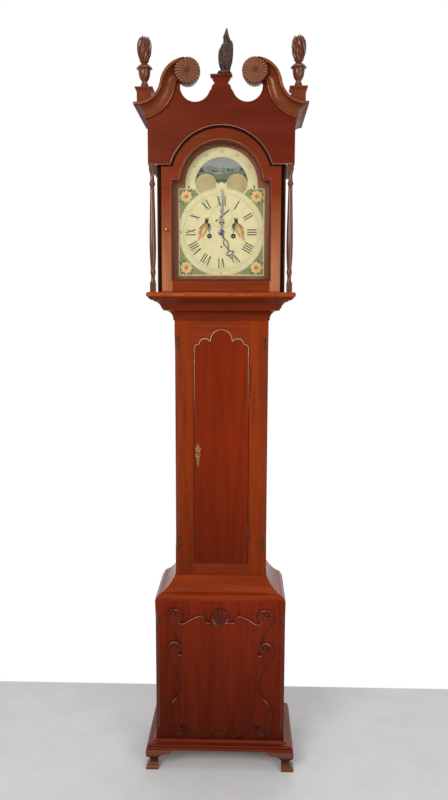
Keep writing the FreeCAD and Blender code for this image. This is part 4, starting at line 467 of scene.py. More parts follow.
# Paints have a colour, a darker shade of it, a roughness and a size of the mottle
CREAM = Paint("dial_cream", (0.755, 0.672, 0.360), (0.690, 0.605, 0.310))
OLIVE = Paint("corner_olive", (0.270, 0.285, 0.105), (0.190, 0.205, 0.075))
INK = Paint("numeral_ink", (0.060, 0.054, 0.036), (0.095, 0.085, 0.055))
FAINT = Paint("faint_ink", (0.330, 0.300, 0.190), (0.420, 0.380, 0.240))
LUNAR = Paint("lunar_ink", (0.210, 0.195, 0.130), (0.280, 0.260, 0.170))
TAN = Paint("hump_tan", (0.500, 0.390, 0.170), (0.390, 0.285, 0.115), 0.42, 24.0)
PETAL = Paint("petal_yellow", (0.760, 0.560, 0.230), (0.680, 0.420, 0.130), 0.42, 90.0)
HEART = Paint("heart_orange", (0.560, 0.190, 0.040), (0.400, 0.110, 0.025), 0.42, 120.0)
LEAF = Paint("leaf_green", (0.120, 0.160, 0.050), (0.070, 0.100, 0.035), 0.42, 110.0)
BUD = Paint("bud_orange", (0.560, 0.270, 0.080), (0.400, 0.160, 0.045), 0.42, 130.0)
CUP = Paint("cup_brown", (0.070, 0.035, 0.022), (0.040, 0.020, 0.014), 0.42, 120.0)
SKY = Paint("moon_sky", (0.310, 0.315, 0.300), (0.250, 0.255, 0.245), 0.4, 20.0)
NIGHT = Paint("night_navy", (0.022, 0.026, 0.050), (0.014, 0.016, 0.032), 0.4, 30.0)
FAR_HILL = Paint("far_hill", (0.195, 0.230, 0.150), (0.150, 0.180, 0.115), 0.42, 60.0)
NEAR_HILL = Paint("near_hill", (0.140, 0.160, 0.075), (0.100, 0.120, 0.055), 0.42, 70.0)
WOODLAND = Paint("woodland", (0.060, 0.085, 0.040), (0.040, 0.060, 0.030), 0.42, 120.0)
MOON = Paint("moon_face", (0.700, 0.600, 0.300), (0.620, 0.500, 0.220), 0.42, 40.0)
GUT = Paint("gut_line", (0.480, 0.330, 0.170), (0.330, 0.210, 0.100), 0.5, 240.0)
FLOOR = Paint("floor_pale", (0.72, 0.72, 0.72), (0.68, 0.68, 0.68), 0.7, 6.0)
GLASS = Pane("hood_glass", (0.09, 0.11, 0.10), 0.05)


class Bench:
    """Modelling moves that the sub-assemblies share. Sizes come in millimetres."""

    @staticmethod
    def clear() -> None:
        """Leave nothing selected."""
        bpy.ops.object.select_all(action="DESELECT")

    @staticmethod
    def hold(piece: Piece) -> None:
        """Select one piece alone and make it active."""
        Bench.clear()
        piece.select_set(True)
        bpy.context.view_layer.objects.active = piece

    @staticmethod
    def edit(piece: Piece) -> None:
        """Open one piece in edit mode, all selected."""
        Bench.hold(piece)
        bpy.ops.object.mode_set(mode="EDIT")
        bpy.ops.mesh.select_all(action="SELECT")

    @staticmethod
    def close() -> None:
        """Turn all faces outwards and leave edit mode."""
        bpy.ops.mesh.select_all(action="SELECT")
        bpy.ops.mesh.remove_doubles(threshold=1e-6)
        bpy.ops.mesh.normals_make_consistent(inside=False)
        bpy.ops.object.mode_set(mode="OBJECT")

    @staticmethod
    def settle() -> None:
        """Apply the place of what is selected."""
        bpy.ops.object.transform_apply(location=True, rotation=True, scale=True)

    @staticmethod
    def slab(outline: Sequence[Point], y: float, thick: float) -> Piece:
        """Plate of an outline in X and Z.

        Args:
            outline: Corners, anticlockwise for a viewer in front.
            y: Front of the plate.
            thick: Thickness behind the front.

        Returns:
            The plate.
        """
        Bench.clear()
        bpy.ops.mesh.primitive_circle_add(vertices=len(outline), radius=MM, fill_type="NGON")
        piece = bpy.context.object
        for vertex, (x, z) in zip(piece.data.vertices, outline):
            vertex.co = (x * MM, (y + thick) * MM, z * MM)
        Bench.edit(piece)
        bpy.ops.mesh.extrude_region_move(TRANSFORM_OT_translate={"value": (0, -thick * MM, 0)})
        Bench.close()
        return piece

    @staticmethod
    def turned(profile: Sequence[Point], place: Place, axis: Axis = Axis.UP, sides: int = 48) -> Piece:
        """Turned piece, extruded ring by ring from its foot.

        Args:
            profile: Radius and height of each ring.
            place: Middle of the foot.
            axis: Direction of growth.
            sides: Corners of each ring.

        Returns:
            The turned piece.
        """
        way = Vector(axis.value)
        start = Vector(place)
        radius, height = profile[0]
        turn = (0, 0, 0) if axis is Axis.UP else (math.pi / 2, 0, 0)
        Bench.clear()
        bpy.ops.mesh.primitive_circle_add(vertices=sides, radius=radius * MM, fill_type="NGON", rotation=turn,
                                          location=(start + way * height) * MM)
        piece = bpy.context.object
        Bench.settle()
        Bench.edit(piece)
        for next_radius, next_height in profile[1:]:
            rise = way * (next_height - height) * MM
            bpy.ops.mesh.extrude_region_move(TRANSFORM_OT_translate={"value": rise})
            share = next_radius / radius
            value = (share, share, 1.0) if axis is Axis.UP else (share, 1.0, share)
            bpy.ops.transform.resize(value=value, center_override=(start + way * next_height) * MM)
            radius, height = next_radius, next_height
        Bench.close()
        return piece

    @staticmethod
    def tube(points: Sequence[Place], radius: float, taper: Sequence[float] = (), closed: bool = False,
             smooth: bool = True) -> Piece:
        """Round bar along a curve, as a mesh.

        Args:
            points: Points that the curve follows.
            radius: Radius of the bar.
            taper: Share of the radius at each point, or nothing for an even bar.
            closed: Whether the last point joins the first.
            smooth: Whether the curve runs smoothly past its points.

        Returns:
            The bar.
        """
        Bench.clear()
        bpy.ops.curve.primitive_nurbs_path_add()
        piece = bpy.context.object
        curve = piece.data
        curve.splines.clear()
        spline = curve.splines.new("NURBS" if smooth else "POLY")
        spline.points.add(len(points) - 1)
        for index, (x, y, z) in enumerate(points):
            spline.points[index].co = (x * MM, y * MM, z * MM, 1.0)
            spline.points[index].radius = taper[index] if taper else 1.0
        spline.use_cyclic_u = closed
        spline.order_u = 3
        spline.use_endpoint_u = not closed
        spline.resolution_u = 6
        curve.bevel_depth = radius * MM
        curve.bevel_resolution = 2
        curve.use_fill_caps = True
        bpy.ops.object.convert(target="MESH")
        piece = bpy.context.object
        Bench.edit(piece)
        Bench.close()
        return piece

    @staticmethod
    def line(path: Sequence[Point], y: float, radius: float, closed: bool = False) -> Piece:
        """Even bar along points in X and Z, at one depth."""
        return Bench.tube([(x, y, z) for x, z in path], radius, closed=closed, smooth=False)

    @staticmethod
    def words(text: str, size: float, x: float, z: float, turn: float, y: float) -> Piece:
        """Number on the dial, as a thin mesh.

        Args:
            text: Digits to write.
            size: Height of the type.
            x: Middle of the number.
            z: Height of its middle.
            turn: Clockwise turn in radians.
            y: Front of the number.

        Returns:
            The number.
        """
        Bench.clear()
        bpy.ops.object.text_add()
        piece = bpy.context.object
        piece.data.body = text
        piece.data.size = size * MM
        piece.data.align_x = "CENTER"
        piece.data.align_y = "CENTER"
        piece.data.extrude = TYPE_HALF * MM
        piece.data.resolution_u = 3
        bpy.ops.object.convert(target="MESH")
        piece = bpy.context.object
        piece.rotation_euler = (math.pi / 2, turn, 0)
        piece.location = (x * MM, (y + TYPE_HALF) * MM, z * MM)
        Bench.settle()
        return piece

    @staticmethod
    def ring(piece: Piece, count: int, x: float, z: float) -> Piece:
        """Repeat a piece round an axis along Y through a point."""
        Bench.edit(piece)
        bpy.ops.mesh.spin(steps=count - 1, dupli=True, angle=2 * math.pi * (count - 1) / count,
                          center=(x * MM, 0, z * MM), axis=(0, 1, 0))
        bpy.ops.object.mode_set(mode="OBJECT")
        return piece

    @staticmethod
    def shape(piece: Piece, move: Callable[[float, float, float], Place]) -> Piece:
        """Move each point by a rule that is given and returns millimetres."""
        for vertex in piece.data.vertices:
            x, y, z = vertex.co / MM
            vertex.co = Vector(move(x, y, z)) * MM
        return piece

    @staticmethod
    def mirrored(piece: Piece) -> Piece:
        """Join a piece to its mirror image across the middle of the clock."""
        Bench.hold(piece)
        bpy.ops.object.duplicate()
        twin = bpy.context.object
        Bench.shape(twin, lambda x, y, z: (-x, y, z))
        Bench.edit(twin)
        bpy.ops.mesh.normals_make_consistent(inside=False)
        bpy.ops.object.mode_set(mode="OBJECT")
        return Bench.join([piece, twin])

    @staticmethod
    def join(pieces: Sequence[Piece]) -> Piece:
        """Make one object of several."""
        Bench.clear()
        for piece in pieces:
            piece.select_set(True)
        bpy.context.view_layer.objects.active = pieces[0]
        if len(pieces) > 1:
            bpy.ops.object.join()
        return pieces[0]

    @staticmethod
    def carve(piece: Piece, voxel: float, smooth: int) -> Piece:
        """Melt joined solids into one carved surface."""
        Bench.hold(piece)
        melt = piece.modifiers.new("melt", "REMESH")
        melt.mode = "VOXEL"
        melt.voxel_size = voxel * MM
        bpy.ops.object.modifier_apply(modifier="melt")
        soften = piece.modifiers.new("soften", "SMOOTH")
        soften.iterations = smooth
        soften.factor = 0.5
        bpy.ops.object.modifier_apply(modifier="soften")
        return piece

    @staticmethod
    def fit(piece: Piece, name: str, body: str, slot: str, finish: Finish, stands_for: str = "") -> None:
        """Name, finish and hang one piece on its body.

        Args:
            piece: The finished mesh.
            name: Its name.
            body: CAD body that carries it.
            slot: Material slot of the record; not used.
            finish: Look of its surface.
            stands_for: CAD node that it replaces, if any.
        """
        Bench.hold(piece)
        Bench.settle()
        bpy.ops.object.shade_smooth_by_angle(angle=SMOOTH_ANGLE)
        piece.name = name
        piece.data.name = name
        piece.data.materials.clear()
        piece.data.materials.append(finish.material())
        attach(piece, body)
        if stands_for:
            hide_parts(stands_for)
        log.info("%s on %s", name, body)


def polar(x: float, z: float, radius: float, turn: float) -> Point:
    """Point at a distance from a middle, anticlockwise from the right by radians."""
    return x + radius * math.cos(turn), z + radius * math.sin(turn)


def arc(start: Point, middle: Point, end: Point, count: int) -> list[Point]:
    """Points of the circle through three points, without the first.

    Args:
        start: Where the arc begins.
        middle: A point on it.
        end: Where it ends.
        count: How many points to give.

    Returns:
        The points, the last of them the end.
    """
    (ax, ay), (bx, by), (cx, cy) = start, middle, end
    d = 2 * (ax * (by - cy) + bx * (cy - ay) + cx * (ay - by))
    a, b, c = ax * ax + ay * ay, bx * bx + by * by, cx * cx + cy * cy
    ux = (a * (by - cy) + b * (cy - ay) + c * (ay - by)) / d
    uy = (a * (cx - bx) + b * (ax - cx) + c * (bx - ax)) / d
    first = math.atan2(ay - uy, ax - ux)
    sweep = (math.atan2(cy - uy, cx - ux) - first) % (2 * math.pi)
    to_middle = (math.atan2(by - uy, bx - ux) - first) % (2 * math.pi)
    if to_middle > sweep:
        sweep -= 2 * math.pi
    radius = math.hypot(ax - ux, ay - uy)
    turns = [first + sweep * (index + 1) / count for index in range(count)]
    return [polar(ux, uy, radius, turn) for turn in turns]


def circle(
    x: float, z: float, radius: float, count: int, first: float = 0.0, last: float = FULL_TURN,
) -> list[Point]:
    """Points on a circle between two angles in degrees; a full circle leaves out its last point."""
    steps = count if last - first >= FULL_TURN else count - 1
    turns = [math.radians(first + (last - first) * index / steps) for index in range(count)]
    return [polar(x, z, radius, turn) for turn in turns]


def rectangle(left: float, low: float, right: float, high: float) -> list[Point]:
    """Corners of an upright rectangle, anticlockwise."""
    return [(left, low), (right, low), (right, high), (left, high)]


ALMOND: Profile = (
    (0, 0), (0.2, -0.62), (0.45, -1), (0.75, -0.6), (1, 0), (0.75, 0.6), (0.45, 1), (0.2, 0.62),
)


def leaf(x: float, z: float, length: float, width: float, turn: float) -> list[Point]:
    """Almond outline from a stalk at a point.

    Args:
        x: Stalk.
        z: Stalk height.
        length: Length to the tip.
        width: Full width.
        turn: Direction of the tip in degrees from the right.

    Returns:
        The outline, anticlockwise.
    """
    along = (math.cos(math.radians(turn)), math.sin(math.radians(turn)))
    points = []
    for share, side in ALMOND:
        u, v = share * length, 0.5 * side * width
        points.append((x + u * along[0] - v * along[1], z + u * along[1] + v * along[0]))
    return points


@dataclass
class Studio:
    """Floor, light, background and camera."""

    camera_at: Place = (84.0, -2630.5, 1717.0)
    pitch: float = 7.2
    yaw: float = 1.66
    roll: float = -0.17
    focal_pixels: float = 714.0
    frame_height: float = 800.0
    sensor: float = 36.0
    floor_half: float = 2600.0
    floor_back: float = 470.0
    floor_front: float = 3200.0
    ambient: float = 0.38
    lamps: tuple[tuple[str, Place, float, float, Place], ...] = (
        ("key", (-1700, -3300, 3000), 1500, 82.0, (0, 0, 1250)),
        ("fill", (2100, -3000, 1900), 1700, 42.0, (0, 0, 1100)),
        ("top", (100, -900, 4100), 1500, 12.0, (0, -100, 1800)),
        ("back", (300, 2300, 2600), 1800, 22.0, (0, 0, 1500)),
    )

    def build(self) -> None:
        """Make the whole studio."""
        self.floor()
        self.world()
        for lamp in self.lamps:
            self.lamp(*lamp)
        self.camera()
        bpy.context.scene.view_settings.view_transform = "Standard"

    def floor(self) -> None:
        """Pale floor that ends behind the clock."""
        Bench.clear()
        bpy.ops.mesh.primitive_plane_add(size=1.0)
        floor = bpy.context.object
        floor.name = "studio_floor"
        depth = (self.floor_back + self.floor_front) / 2
        floor.scale = (2 * self.floor_half * MM, 2 * depth * MM, 1.0)
        floor.location = (0, (self.floor_back - depth) * MM, 0)
        Bench.settle()
        floor.data.materials.append(FLOOR.material())

    def world(self) -> None:
        """Soft even light, with a white background for what looks straight at it."""
        world = bpy.data.worlds.new("studio_world")
        bpy.context.scene.world = world
        world.use_nodes = True
        tree = world.node_tree
        tree.nodes.clear()
        path = tree.nodes.new("ShaderNodeLightPath")
        seen = path.outputs["Is Camera Ray"]
        for name in ("Is Glossy Ray", "Is Transmission Ray"):
            both = tree.nodes.new("ShaderNodeMath")
            both.operation = "MAXIMUM"
            tree.links.new(seen, both.inputs[0])
            tree.links.new(path.outputs[name], both.inputs[1])
            seen = both.outputs[0]
        level = tree.nodes.new("ShaderNodeMapRange")
        level.inputs["To Min"].default_value = self.ambient
        level.inputs["To Max"].default_value = 1.0
        tree.links.new(seen, level.inputs[0])
        back = tree.nodes.new("ShaderNodeBackground")
        back.inputs["Color"].default_value = (1.0, 1.0, 1.0, 1.0)
        tree.links.new(level.outputs[0], back.inputs["Strength"])
        output = tree.nodes.new("ShaderNodeOutputWorld")
        tree.links.new(back.outputs[0], output.inputs[0])

    def lamp(self, name: str, place: Place, size: float, power: float, target: Place) -> None:
        """Square soft lamp aimed at a point.

        Args:
            name: What the lamp does.
            place: Where it hangs.
            size: Its width.
            power: Its strength in watts.
            target: Point that it looks at.
        """
        Bench.clear()
        bpy.ops.object.light_add(type="AREA", location=Vector(place) * MM)
        lamp = bpy.context.object
        lamp.name = name + "_lamp"
        lamp.data.size = size * MM
        lamp.data.energy = power
        way = Vector(target) - Vector(place)
        lamp.rotation_euler = way.to_track_quat("-Z", "Y").to_euler()

    def camera(self) -> None:
        """Camera at the photograph's viewing angle."""
        Bench.clear()
        bpy.ops.object.camera_add(location=Vector(self.camera_at) * MM)
        camera = bpy.context.object
        turns = (90 - self.pitch, self.roll, self.yaw)
        camera.rotation_euler = [math.radians(turn) for turn in turns]
        camera.data.sensor_fit = "AUTO"
        camera.data.sensor_width = self.sensor
        camera.data.lens = self.sensor * self.focal_pixels / self.frame_height
        bpy.context.scene.camera = camera


class CarriedParts:
    """CAD nodes that keep their shape and get their finish here."""

    def build(self) -> None:
        """Put a finish on every carried node."""
        plan = {
            TRUNK_WOOD: ("trunk_front_frame",),
            DOOR_WOOD: ("trunk_door",),
            BASE_WOOD: ("base_front_panel", "base_applied_panel"),
            RAIL_WOOD: ("waist_moulding",),
            PLINTH_WOOD: ("base_moulding",),
            FOOT_SHEEN_WOOD: ("bracket_feet",),
            CORNICE_WOOD: ("finial_plinths", "hood_side_cornices"),
            THROAT_WOOD: ("throat_moulding",),
            NOSE_WOOD: ("hood_base_frame",),
            HOOD_WOOD: ("hood_scroll_board",),
            NECK_WOOD: ("swan_necks",),
            STILE_WOOD: ("hood_door_frame",),
            SIDE_WOOD: ("base_side_boards", "trunk_side_boards", "hood_side_panels"),
            PINE: ("backboard", "base_bottom_board", "seatboard"),
            CARCASE_WOOD: ("hood_carcase",),
            MASK_SHEEN_WOOD: ("dial_mask",),
            DARK_BRASS: ("trunk_hinge_frame_leaves", "trunk_hinge_door_leaves", "hood_door_pins"),
            KEY_BRASS: ("hood_door_knob",),
            BRASS: ("movement_frame", "back_cock", "centre_wheel", "minute_wheel", "hour_wheel",
                    "third_wheel", "escape_wheel", "going_barrel", "strike_barrel", "pendulum_bob",
                    "going_weight", "going_pulley", "strike_weight", "strike_pulley", "bell"),
            STEEL: ("lock_case", "lock_bolt", "pallets_and_crutch", "pendulum_rod", "bell_hammer"),
            BLUED: ("seconds_hand",),
            CREAM: ("dial_plate",),
            SKY: ("moon_disc",),
            GLASS: ("hood_door_glass",),
        }
        for finish, names in plan.items():
            for name in names:
                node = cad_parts[name]
                node.data.materials.clear()
                node.data.materials.append(finish.material())
                log.info("%s dressed in %s", name, finish.name)


@dataclass
class BaseCarving:
    """Carving of the base: the panel's rounded edge with painted highlights on top, the volutes and the
    shell.
    """

    half: float = 236.0
    floor: float = 63.0
    height: float = 545.0
    front_y: float = -119.5
    edge: float = 3.0
    edge_y: float = -119.1
    edge_foot: Point = (0.0, 0.123)
    arc_steps: int = 10
    arcs: Table = (
        (0.068, 0.128, 0.127, 0.145), (0.220, 0.106, 0.297, 0.114), (0.424, 0.139, 0.517, 0.206),
        (0.602, 0.207, 0.644, 0.176), (0.715, 0.116, 0.775, 0.168), (0.824, 0.262, 0.788, 0.340),
        (0.664, 0.400, 0.598, 0.466), (0.634, 0.556, 0.800, 0.668), (0.840, 0.730, 0.796, 0.767),
        (0.746, 0.785, 0.678, 0.708), (0.623, 0.694, 0.597, 0.730), (0.634, 0.807, 0.796, 0.930),
        (0.826, 0.983, 0.775, 1.007), (0.703, 1.020, 0.665, 0.932), (0.593, 0.917, 0.534, 0.925),
        (0.398, 0.961, 0.305, 0.976), (0.263, 0.969, 0.229, 0.936), (0.195, 0.925, 0.131, 0.936),
    )
    crest: float = 1.05
    crest_from: float = 0.55
    crest_lift: float = 0.55
    crest_out: float = 0.78
    crest_least: int = 3
    volutes: Table = (
        (0.731, 0.990, 17.0, 20.0, 1.0), (0.716, 0.751, 18.0, 20.0, 1.0), (0.652, 0.146, 18.0, -20.0, -1.0),
    )
    volute_steps: int = 26
    volute_turn: float = 620.0
    volute_bar: float = 4.6
    volute_shrink: float = 0.80
    volute_out: Point = (0.6, 3.0)
    volute_taper: Point = (0.85, 0.30)
    boss: Profile = ((5.0, 0), (4.6, 2.4), (2.8, 4.4), (0.6, 5.0))
    shell_foot: float = 556.0
    shell_middle: float = 588.0
    shell_radius: float = 34.5
    shell_from: float = -24.0
    shell_spread: float = 228.0
    ribs: int = 11
    rib_bar: float = 4.7
    rib_out: float = 1.0
    rib_crown: float = 3.2
    rib_turn: float = 0.86
    ground_in: float = 4.0
    ground_out: float = 1.6
    rib_taper: Profile = ((0.06, 0.20), (0.3, 0.42), (0.55, 0.66), (0.8, 0.92), (0.94, 0.86), (1.0, 0.35))
    curls: Profile = ((30.0, 5.0), (39.0, 3.6))
    curl_rise: float = 12.0

    def spot(self, across: float, up: float) -> Point:
        """Point from shares of the half width and of the panel's height."""
        return across * self.half, self.floor + up * self.height

    def outline(self) -> list[Point]:
        """Right half of the panel's edge, from its foot to its head."""
        points = [self.spot(*self.edge_foot)]
        for mid_x, mid_z, end_x, end_z in self.arcs:
            points += arc(points[-1], self.spot(mid_x, mid_z), self.spot(end_x, end_z), self.arc_steps)
        return points

    def build(self) -> None:
        """Make the carving."""
        bead = Bench.line(self.outline(), self.edge_y, self.edge)
        Bench.fit(Bench.mirrored(bead), "base_panel_edge", "case", "mahogany", SHADED_CARVING)
        Bench.fit(Bench.mirrored(self.crests()), "base_panel_crest_highlights", "case", "mahogany", RIDGE_HIGHLIGHT_WOOD)
        scrolls = []
        for across, up, radius, start, way in self.volutes:
            scrolls.append(Bench.mirrored(self.volute(*self.spot(across, up), radius, start, way)))
        carving = Bench.join(scrolls + [self.shell()])
        Bench.fit(carving, "base_carving", "case", "mahogany", SHADED_CARVING, "base_scroll_carving")

    def crests(self) -> Piece:
        """Pale lines of painted highlight on the runs of the panel's edge that face upwards."""
        runs: list[list[Place]] = [[]]
        points = self.outline()
        lift = self.crest_lift * self.edge
        y = self.edge_y - self.crest_out * self.edge
        for (x0, z0), (x1, z1) in zip(points, points[1:]):
            length = math.hypot(x1 - x0, z1 - z0)
            up, out = (x0 - x1) / length, (z1 - z0) / length
            if up > self.crest_from:
                runs[-1].append(((x0 + x1) / 2 + lift * out, y, (z0 + z1) / 2 + lift * up))
            elif runs[-1]:
                runs.append([])
        lines = []
        for run in runs:
            if len(run) > self.crest_least:
                shares = [index / (len(run) - 1) for index in range(len(run))]
                taper = [0.15 + 0.85 * math.sin(math.pi * share) for share in shares]
                lines.append(Bench.tube(run, self.crest, taper, smooth=False))
        return Bench.join(lines)

    def volute(self, x: float, z: float, radius: float, start: float, way: float) -> Piece:
        """Spiral that winds in to a boss.

        Args:
            x: Middle of the boss.
            z: Its height.
            radius: Reach at the outer end.
            start: Angle in degrees at the outer end.
            way: One to wind in anticlockwise, minus one for clockwise.

        Returns:
            The volute.
        """
        points, taper = [], []
        out, rise = self.volute_out
        thick, thin = self.volute_taper
        for index in range(self.volute_steps + 1):
            share = index / self.volute_steps
            turn = math.radians(start + way * self.volute_turn * share)
            across, up = polar(x, z, radius * (1.0 - self.volute_shrink * share), turn)
            points.append((across, self.front_y - out - rise * share, up))
            taper.append(thick - thin * share)
        spiral = Bench.tube(points, self.volute_bar, taper)
        return Bench.join([spiral, Bench.turned(self.boss, (x, self.front_y, z), Axis.FRONT, 20)])

    def shell(self) -> Piece:
        """Scallop shell of tapered ribs that spread from its foot."""
        pieces = []
        foot = self.shell_foot
        for index in range(self.ribs):
            turn = math.radians(self.shell_from + self.shell_spread * index / (self.ribs - 1))
            tip_x, tip_z = polar(0, self.shell_middle, self.shell_radius, turn)
            points = []
            for share, _ in self.rib_taper:
                crown = self.rib_crown * math.sin(math.pi * min(share, self.rib_turn))
                y = self.front_y - self.rib_out - crown
                points.append((share * tip_x, y, foot + share * (tip_z - foot)))
            pieces.append(Bench.tube(points, self.rib_bar, [thick for _, thick in self.rib_taper]))
        rim = circle(0, self.shell_middle, self.shell_radius - self.ground_in, 40)
        pieces.append(Bench.slab(rim, self.front_y - self.ground_out, self.ground_out))
        for side in SIDES:
            for reach, size in self.curls:
                profile = [(size, 0), (0.9 * size, 1.6), (0.5 * size, 3.2), (0.1, 3.8)]
                place = (side * reach, self.front_y, foot + self.curl_rise)
                pieces.append(Bench.turned(profile, place, Axis.FRONT, 16))
        return Bench.join(pieces)


@dataclass
class CornerStops:
    """Carved leaves where the chamfers of trunk and base end."""

    trunk: Place = (159.0, -39.0, 1.05)
    trunk_levels: Point = (845.0, 1597.0)
    base: Place = (228.0, -112.0, 0.75)
    base_levels: Point = (168.0, 580.0)
    slant: float = math.sqrt(0.5)
    curl_steps: int = 15
    curl_radius: float = 7.6
    curl_bar: float = 2.7
    curl_middle: float = -15.0
    curl_turn: float = 40.0
    curl_shrink: float = 0.052
    curl_rise: float = 0.16
    curl_thin: float = 0.035
    lobes: Profile = ((-4.0, 8.4), (7.0, 7.6), (17.0, 6.2))
    bar: float = 3.0

    def build(self) -> None:
        """Make the stops of both corners, each with its mirror image."""
        leaves = []
        for (x, y, size), levels in ((self.trunk, self.trunk_levels), (self.base, self.base_levels)):
            for z, way in zip(levels, (1.0, -1.0)):
                leaves.append(Bench.mirrored(self.stop(x, y, z, way, size)))
        # The stops are near-black with painted shade.
        Bench.fit(Bench.join(leaves), "corner_stops", "case", "mahogany", STOP_SHADE_WOOD)

    def stop(self, x: float, y: float, z: float, way: float, size: float) -> Piece:
        """Scroll with three pairs of lobes on a chamfer.

        Args:
            x: Middle of the chamfer.
            y: Its depth.
            z: Height of the stop's middle.
            way: One where the chamfer runs up from the stop, minus one where it runs down.
            size: Share of the full size.

        Returns:
            The carved stop.
        """
        slope = self.slant * size

        def on_chamfer(across: float, up: float, out: float) -> Place:
            """Point from its place on the slanted face."""
            return x + slope * (across + out), y + slope * (across - out), z + way * size * up

        curl = []
        for index in range(self.curl_steps):
            reach = self.curl_radius * (1.0 - self.curl_shrink * index)
            across, up = polar(0, self.curl_middle, reach, math.radians(self.curl_turn * index))
            curl.append(on_chamfer(across, up, 1.0 + self.curl_rise * index))
        taper = [1.0 - self.curl_thin * index for index in range(self.curl_steps)]
        parts = [Bench.tube(curl, self.curl_bar * size, taper)]
        for up, reach in self.lobes:
            for side in SIDES:
                points = [on_chamfer(0.0, up, 1.2), on_chamfer(0.55 * side * reach, up + 4.0, 2.6),
                          on_chamfer(side * reach, up + 2.0, 1.2)]
                parts.append(Bench.tube(points, self.bar * size, (0.8, 1.0, 0.45)))
        spine = [on_chamfer(0.0, -8.0, 1.6), on_chamfer(0.0, 10.0, 2.4), on_chamfer(0.0, 27.0, 0.6)]
        parts.append(Bench.tube(spine, self.bar * size, (1.0, 0.9, 0.15)))
        return Bench.join(parts)


@dataclass
class TrunkDoor:
    """Moulded edge of the trunk door with a painted highlight on its head, and its pierced key plate."""

    half: float = 100.0
    foot_z: float = 771.0
    head_z: float = 1579.0
    front_y: float = -47.5
    face_y: float = -41.5
    key_x: float = -85.0
    key_z: float = 1193.0
    plate: float = 1.5
    edge: float = 1.7
    edge_sink: float = 0.9
    joint: float = 0.9
    joint_gap: float = 0.5
    joint_out: float = 1.1
    lobes: Table = (
        (84.0, 0.0, 16.0, 12, 0.0, 95.7), (60.0, 14.0, 22.5, 18, 5.0, 147.0),
        (0.0, 28.0, 41.0, 20, -1.4, 90.0),
    )
    plate_narrow: float = 0.84
    plate_half: Profile = (
        (0.0, -52.0), (2.6, -48.0), (2.0, -44.0), (4.4, -38.0), (3.0, -33.0), (6.4, -27.0), (4.8, -21.0),
        (9.0, -15.0), (11.6, -9.0), (10.0, -3.5), (7.0, 0.5), (10.0, 5.0), (11.0, 11.0), (12.6, 16.0),
        (10.0, 20.5), (6.0, 21.5), (4.0, 25.0), (5.4, 29.0), (3.4, 33.0), (0.0, 35.0),
    )
    piercings: Table = (
        (0.0, -33.0, 1.5), (0.0, -24.0, 2.0), (-5.2, 13.0, 1.7), (5.2, 13.0, 1.7), (0.0, 19.0, 1.8),
        (0.0, 28.0, 1.5), (0.0, 0.0, 3.2), (-5.4, -10.0, 1.4), (5.4, -10.0, 1.4),
    )
    slot_half: float = 1.6
    slot_depth: float = 11.0
    slot_over: float = 0.1
    cut: float = 3.0
    shadow_drop: float = 4.0
    shadow_radius: float = 7.4
    shadow_out: float = 0.5
    shadow_thick: float = 0.4

    def outline(self, inset: float) -> list[Point]:
        """Door edge from its right foot round the head of five lobes to its left foot.

        Args:
            inset: How far inside the edge to run.

        Returns:
            The points.
        """
        right = [(self.half - inset, self.foot_z + inset)]
        for x, rise, radius, count, first, last in self.lobes:
            right += circle(x, self.head_z + rise, radius - inset, count, first, last)
        return right + [(-x, z) for x, z in right[-2::-1]]

    def build(self) -> None:
        """Make the edge with its painted highlight, the line of painted shadow round it and the key plate."""
        # Edge bead with a painted highlight on its head.
        edge = Bench.line(self.outline(self.edge), self.front_y + self.edge_sink, self.edge, closed=True)
        Bench.fit(edge, "door_edge_highlight", "trunk_door", "mahogany", LIP_HIGHLIGHT_WOOD)
        # Near-black line of painted shadow just outside the door's lip.
        outside = self.outline(-self.joint_gap)
        joint = Bench.line(outside, self.face_y - self.joint_out, self.joint, closed=True)
        Bench.fit(joint, "door_lip_shadow", "trunk_door", "mahogany", PAINTED_SHADE)
        self.key_plate()

    def key_plate(self) -> None:
        """Brass plate with a crest, a long tail, piercings and the keyhole."""
        x, z = self.key_x, self.key_z
        half = [(self.plate_narrow * u, v) for u, v in self.plate_half]
        outline = [(x + u, z + v) for u, v in half] + [(x - u, z + v) for u, v in half[-2:0:-1]]
        plate = Bench.slab(outline, self.front_y - self.plate, self.plate)
        holes = []
        for u, v, size in self.piercings:
            holes.append(Bench.slab(circle(x + u, z + v, size, 14), self.front_y - self.cut, 2 * self.cut))
        slot = rectangle(x - self.slot_half, z - self.slot_depth, x + self.slot_half, z)
        deep = self.cut + self.slot_over
        holes.append(Bench.slab(slot, self.front_y - deep, 2 * deep))
        for cutter in holes:
            Bench.hold(plate)
            pierce = plate.modifiers.new("pierce", "BOOLEAN")
            pierce.operation = "DIFFERENCE"
            pierce.object = cutter
            bpy.ops.object.modifier_apply(modifier="pierce")
            bpy.data.objects.remove(cutter)
        Bench.fit(plate, "key_plate", "trunk_door", "brass", KEY_BRASS, "keyhole_escutcheon")
        patch = circle(x, z - self.shadow_drop, self.shadow_radius, 20)
        dark = Bench.slab(patch, self.front_y - self.shadow_out, self.shadow_thick)
        Bench.fit(dark, "keyhole_shadow", "trunk_door", "mahogany", PAINTED_SHADE)


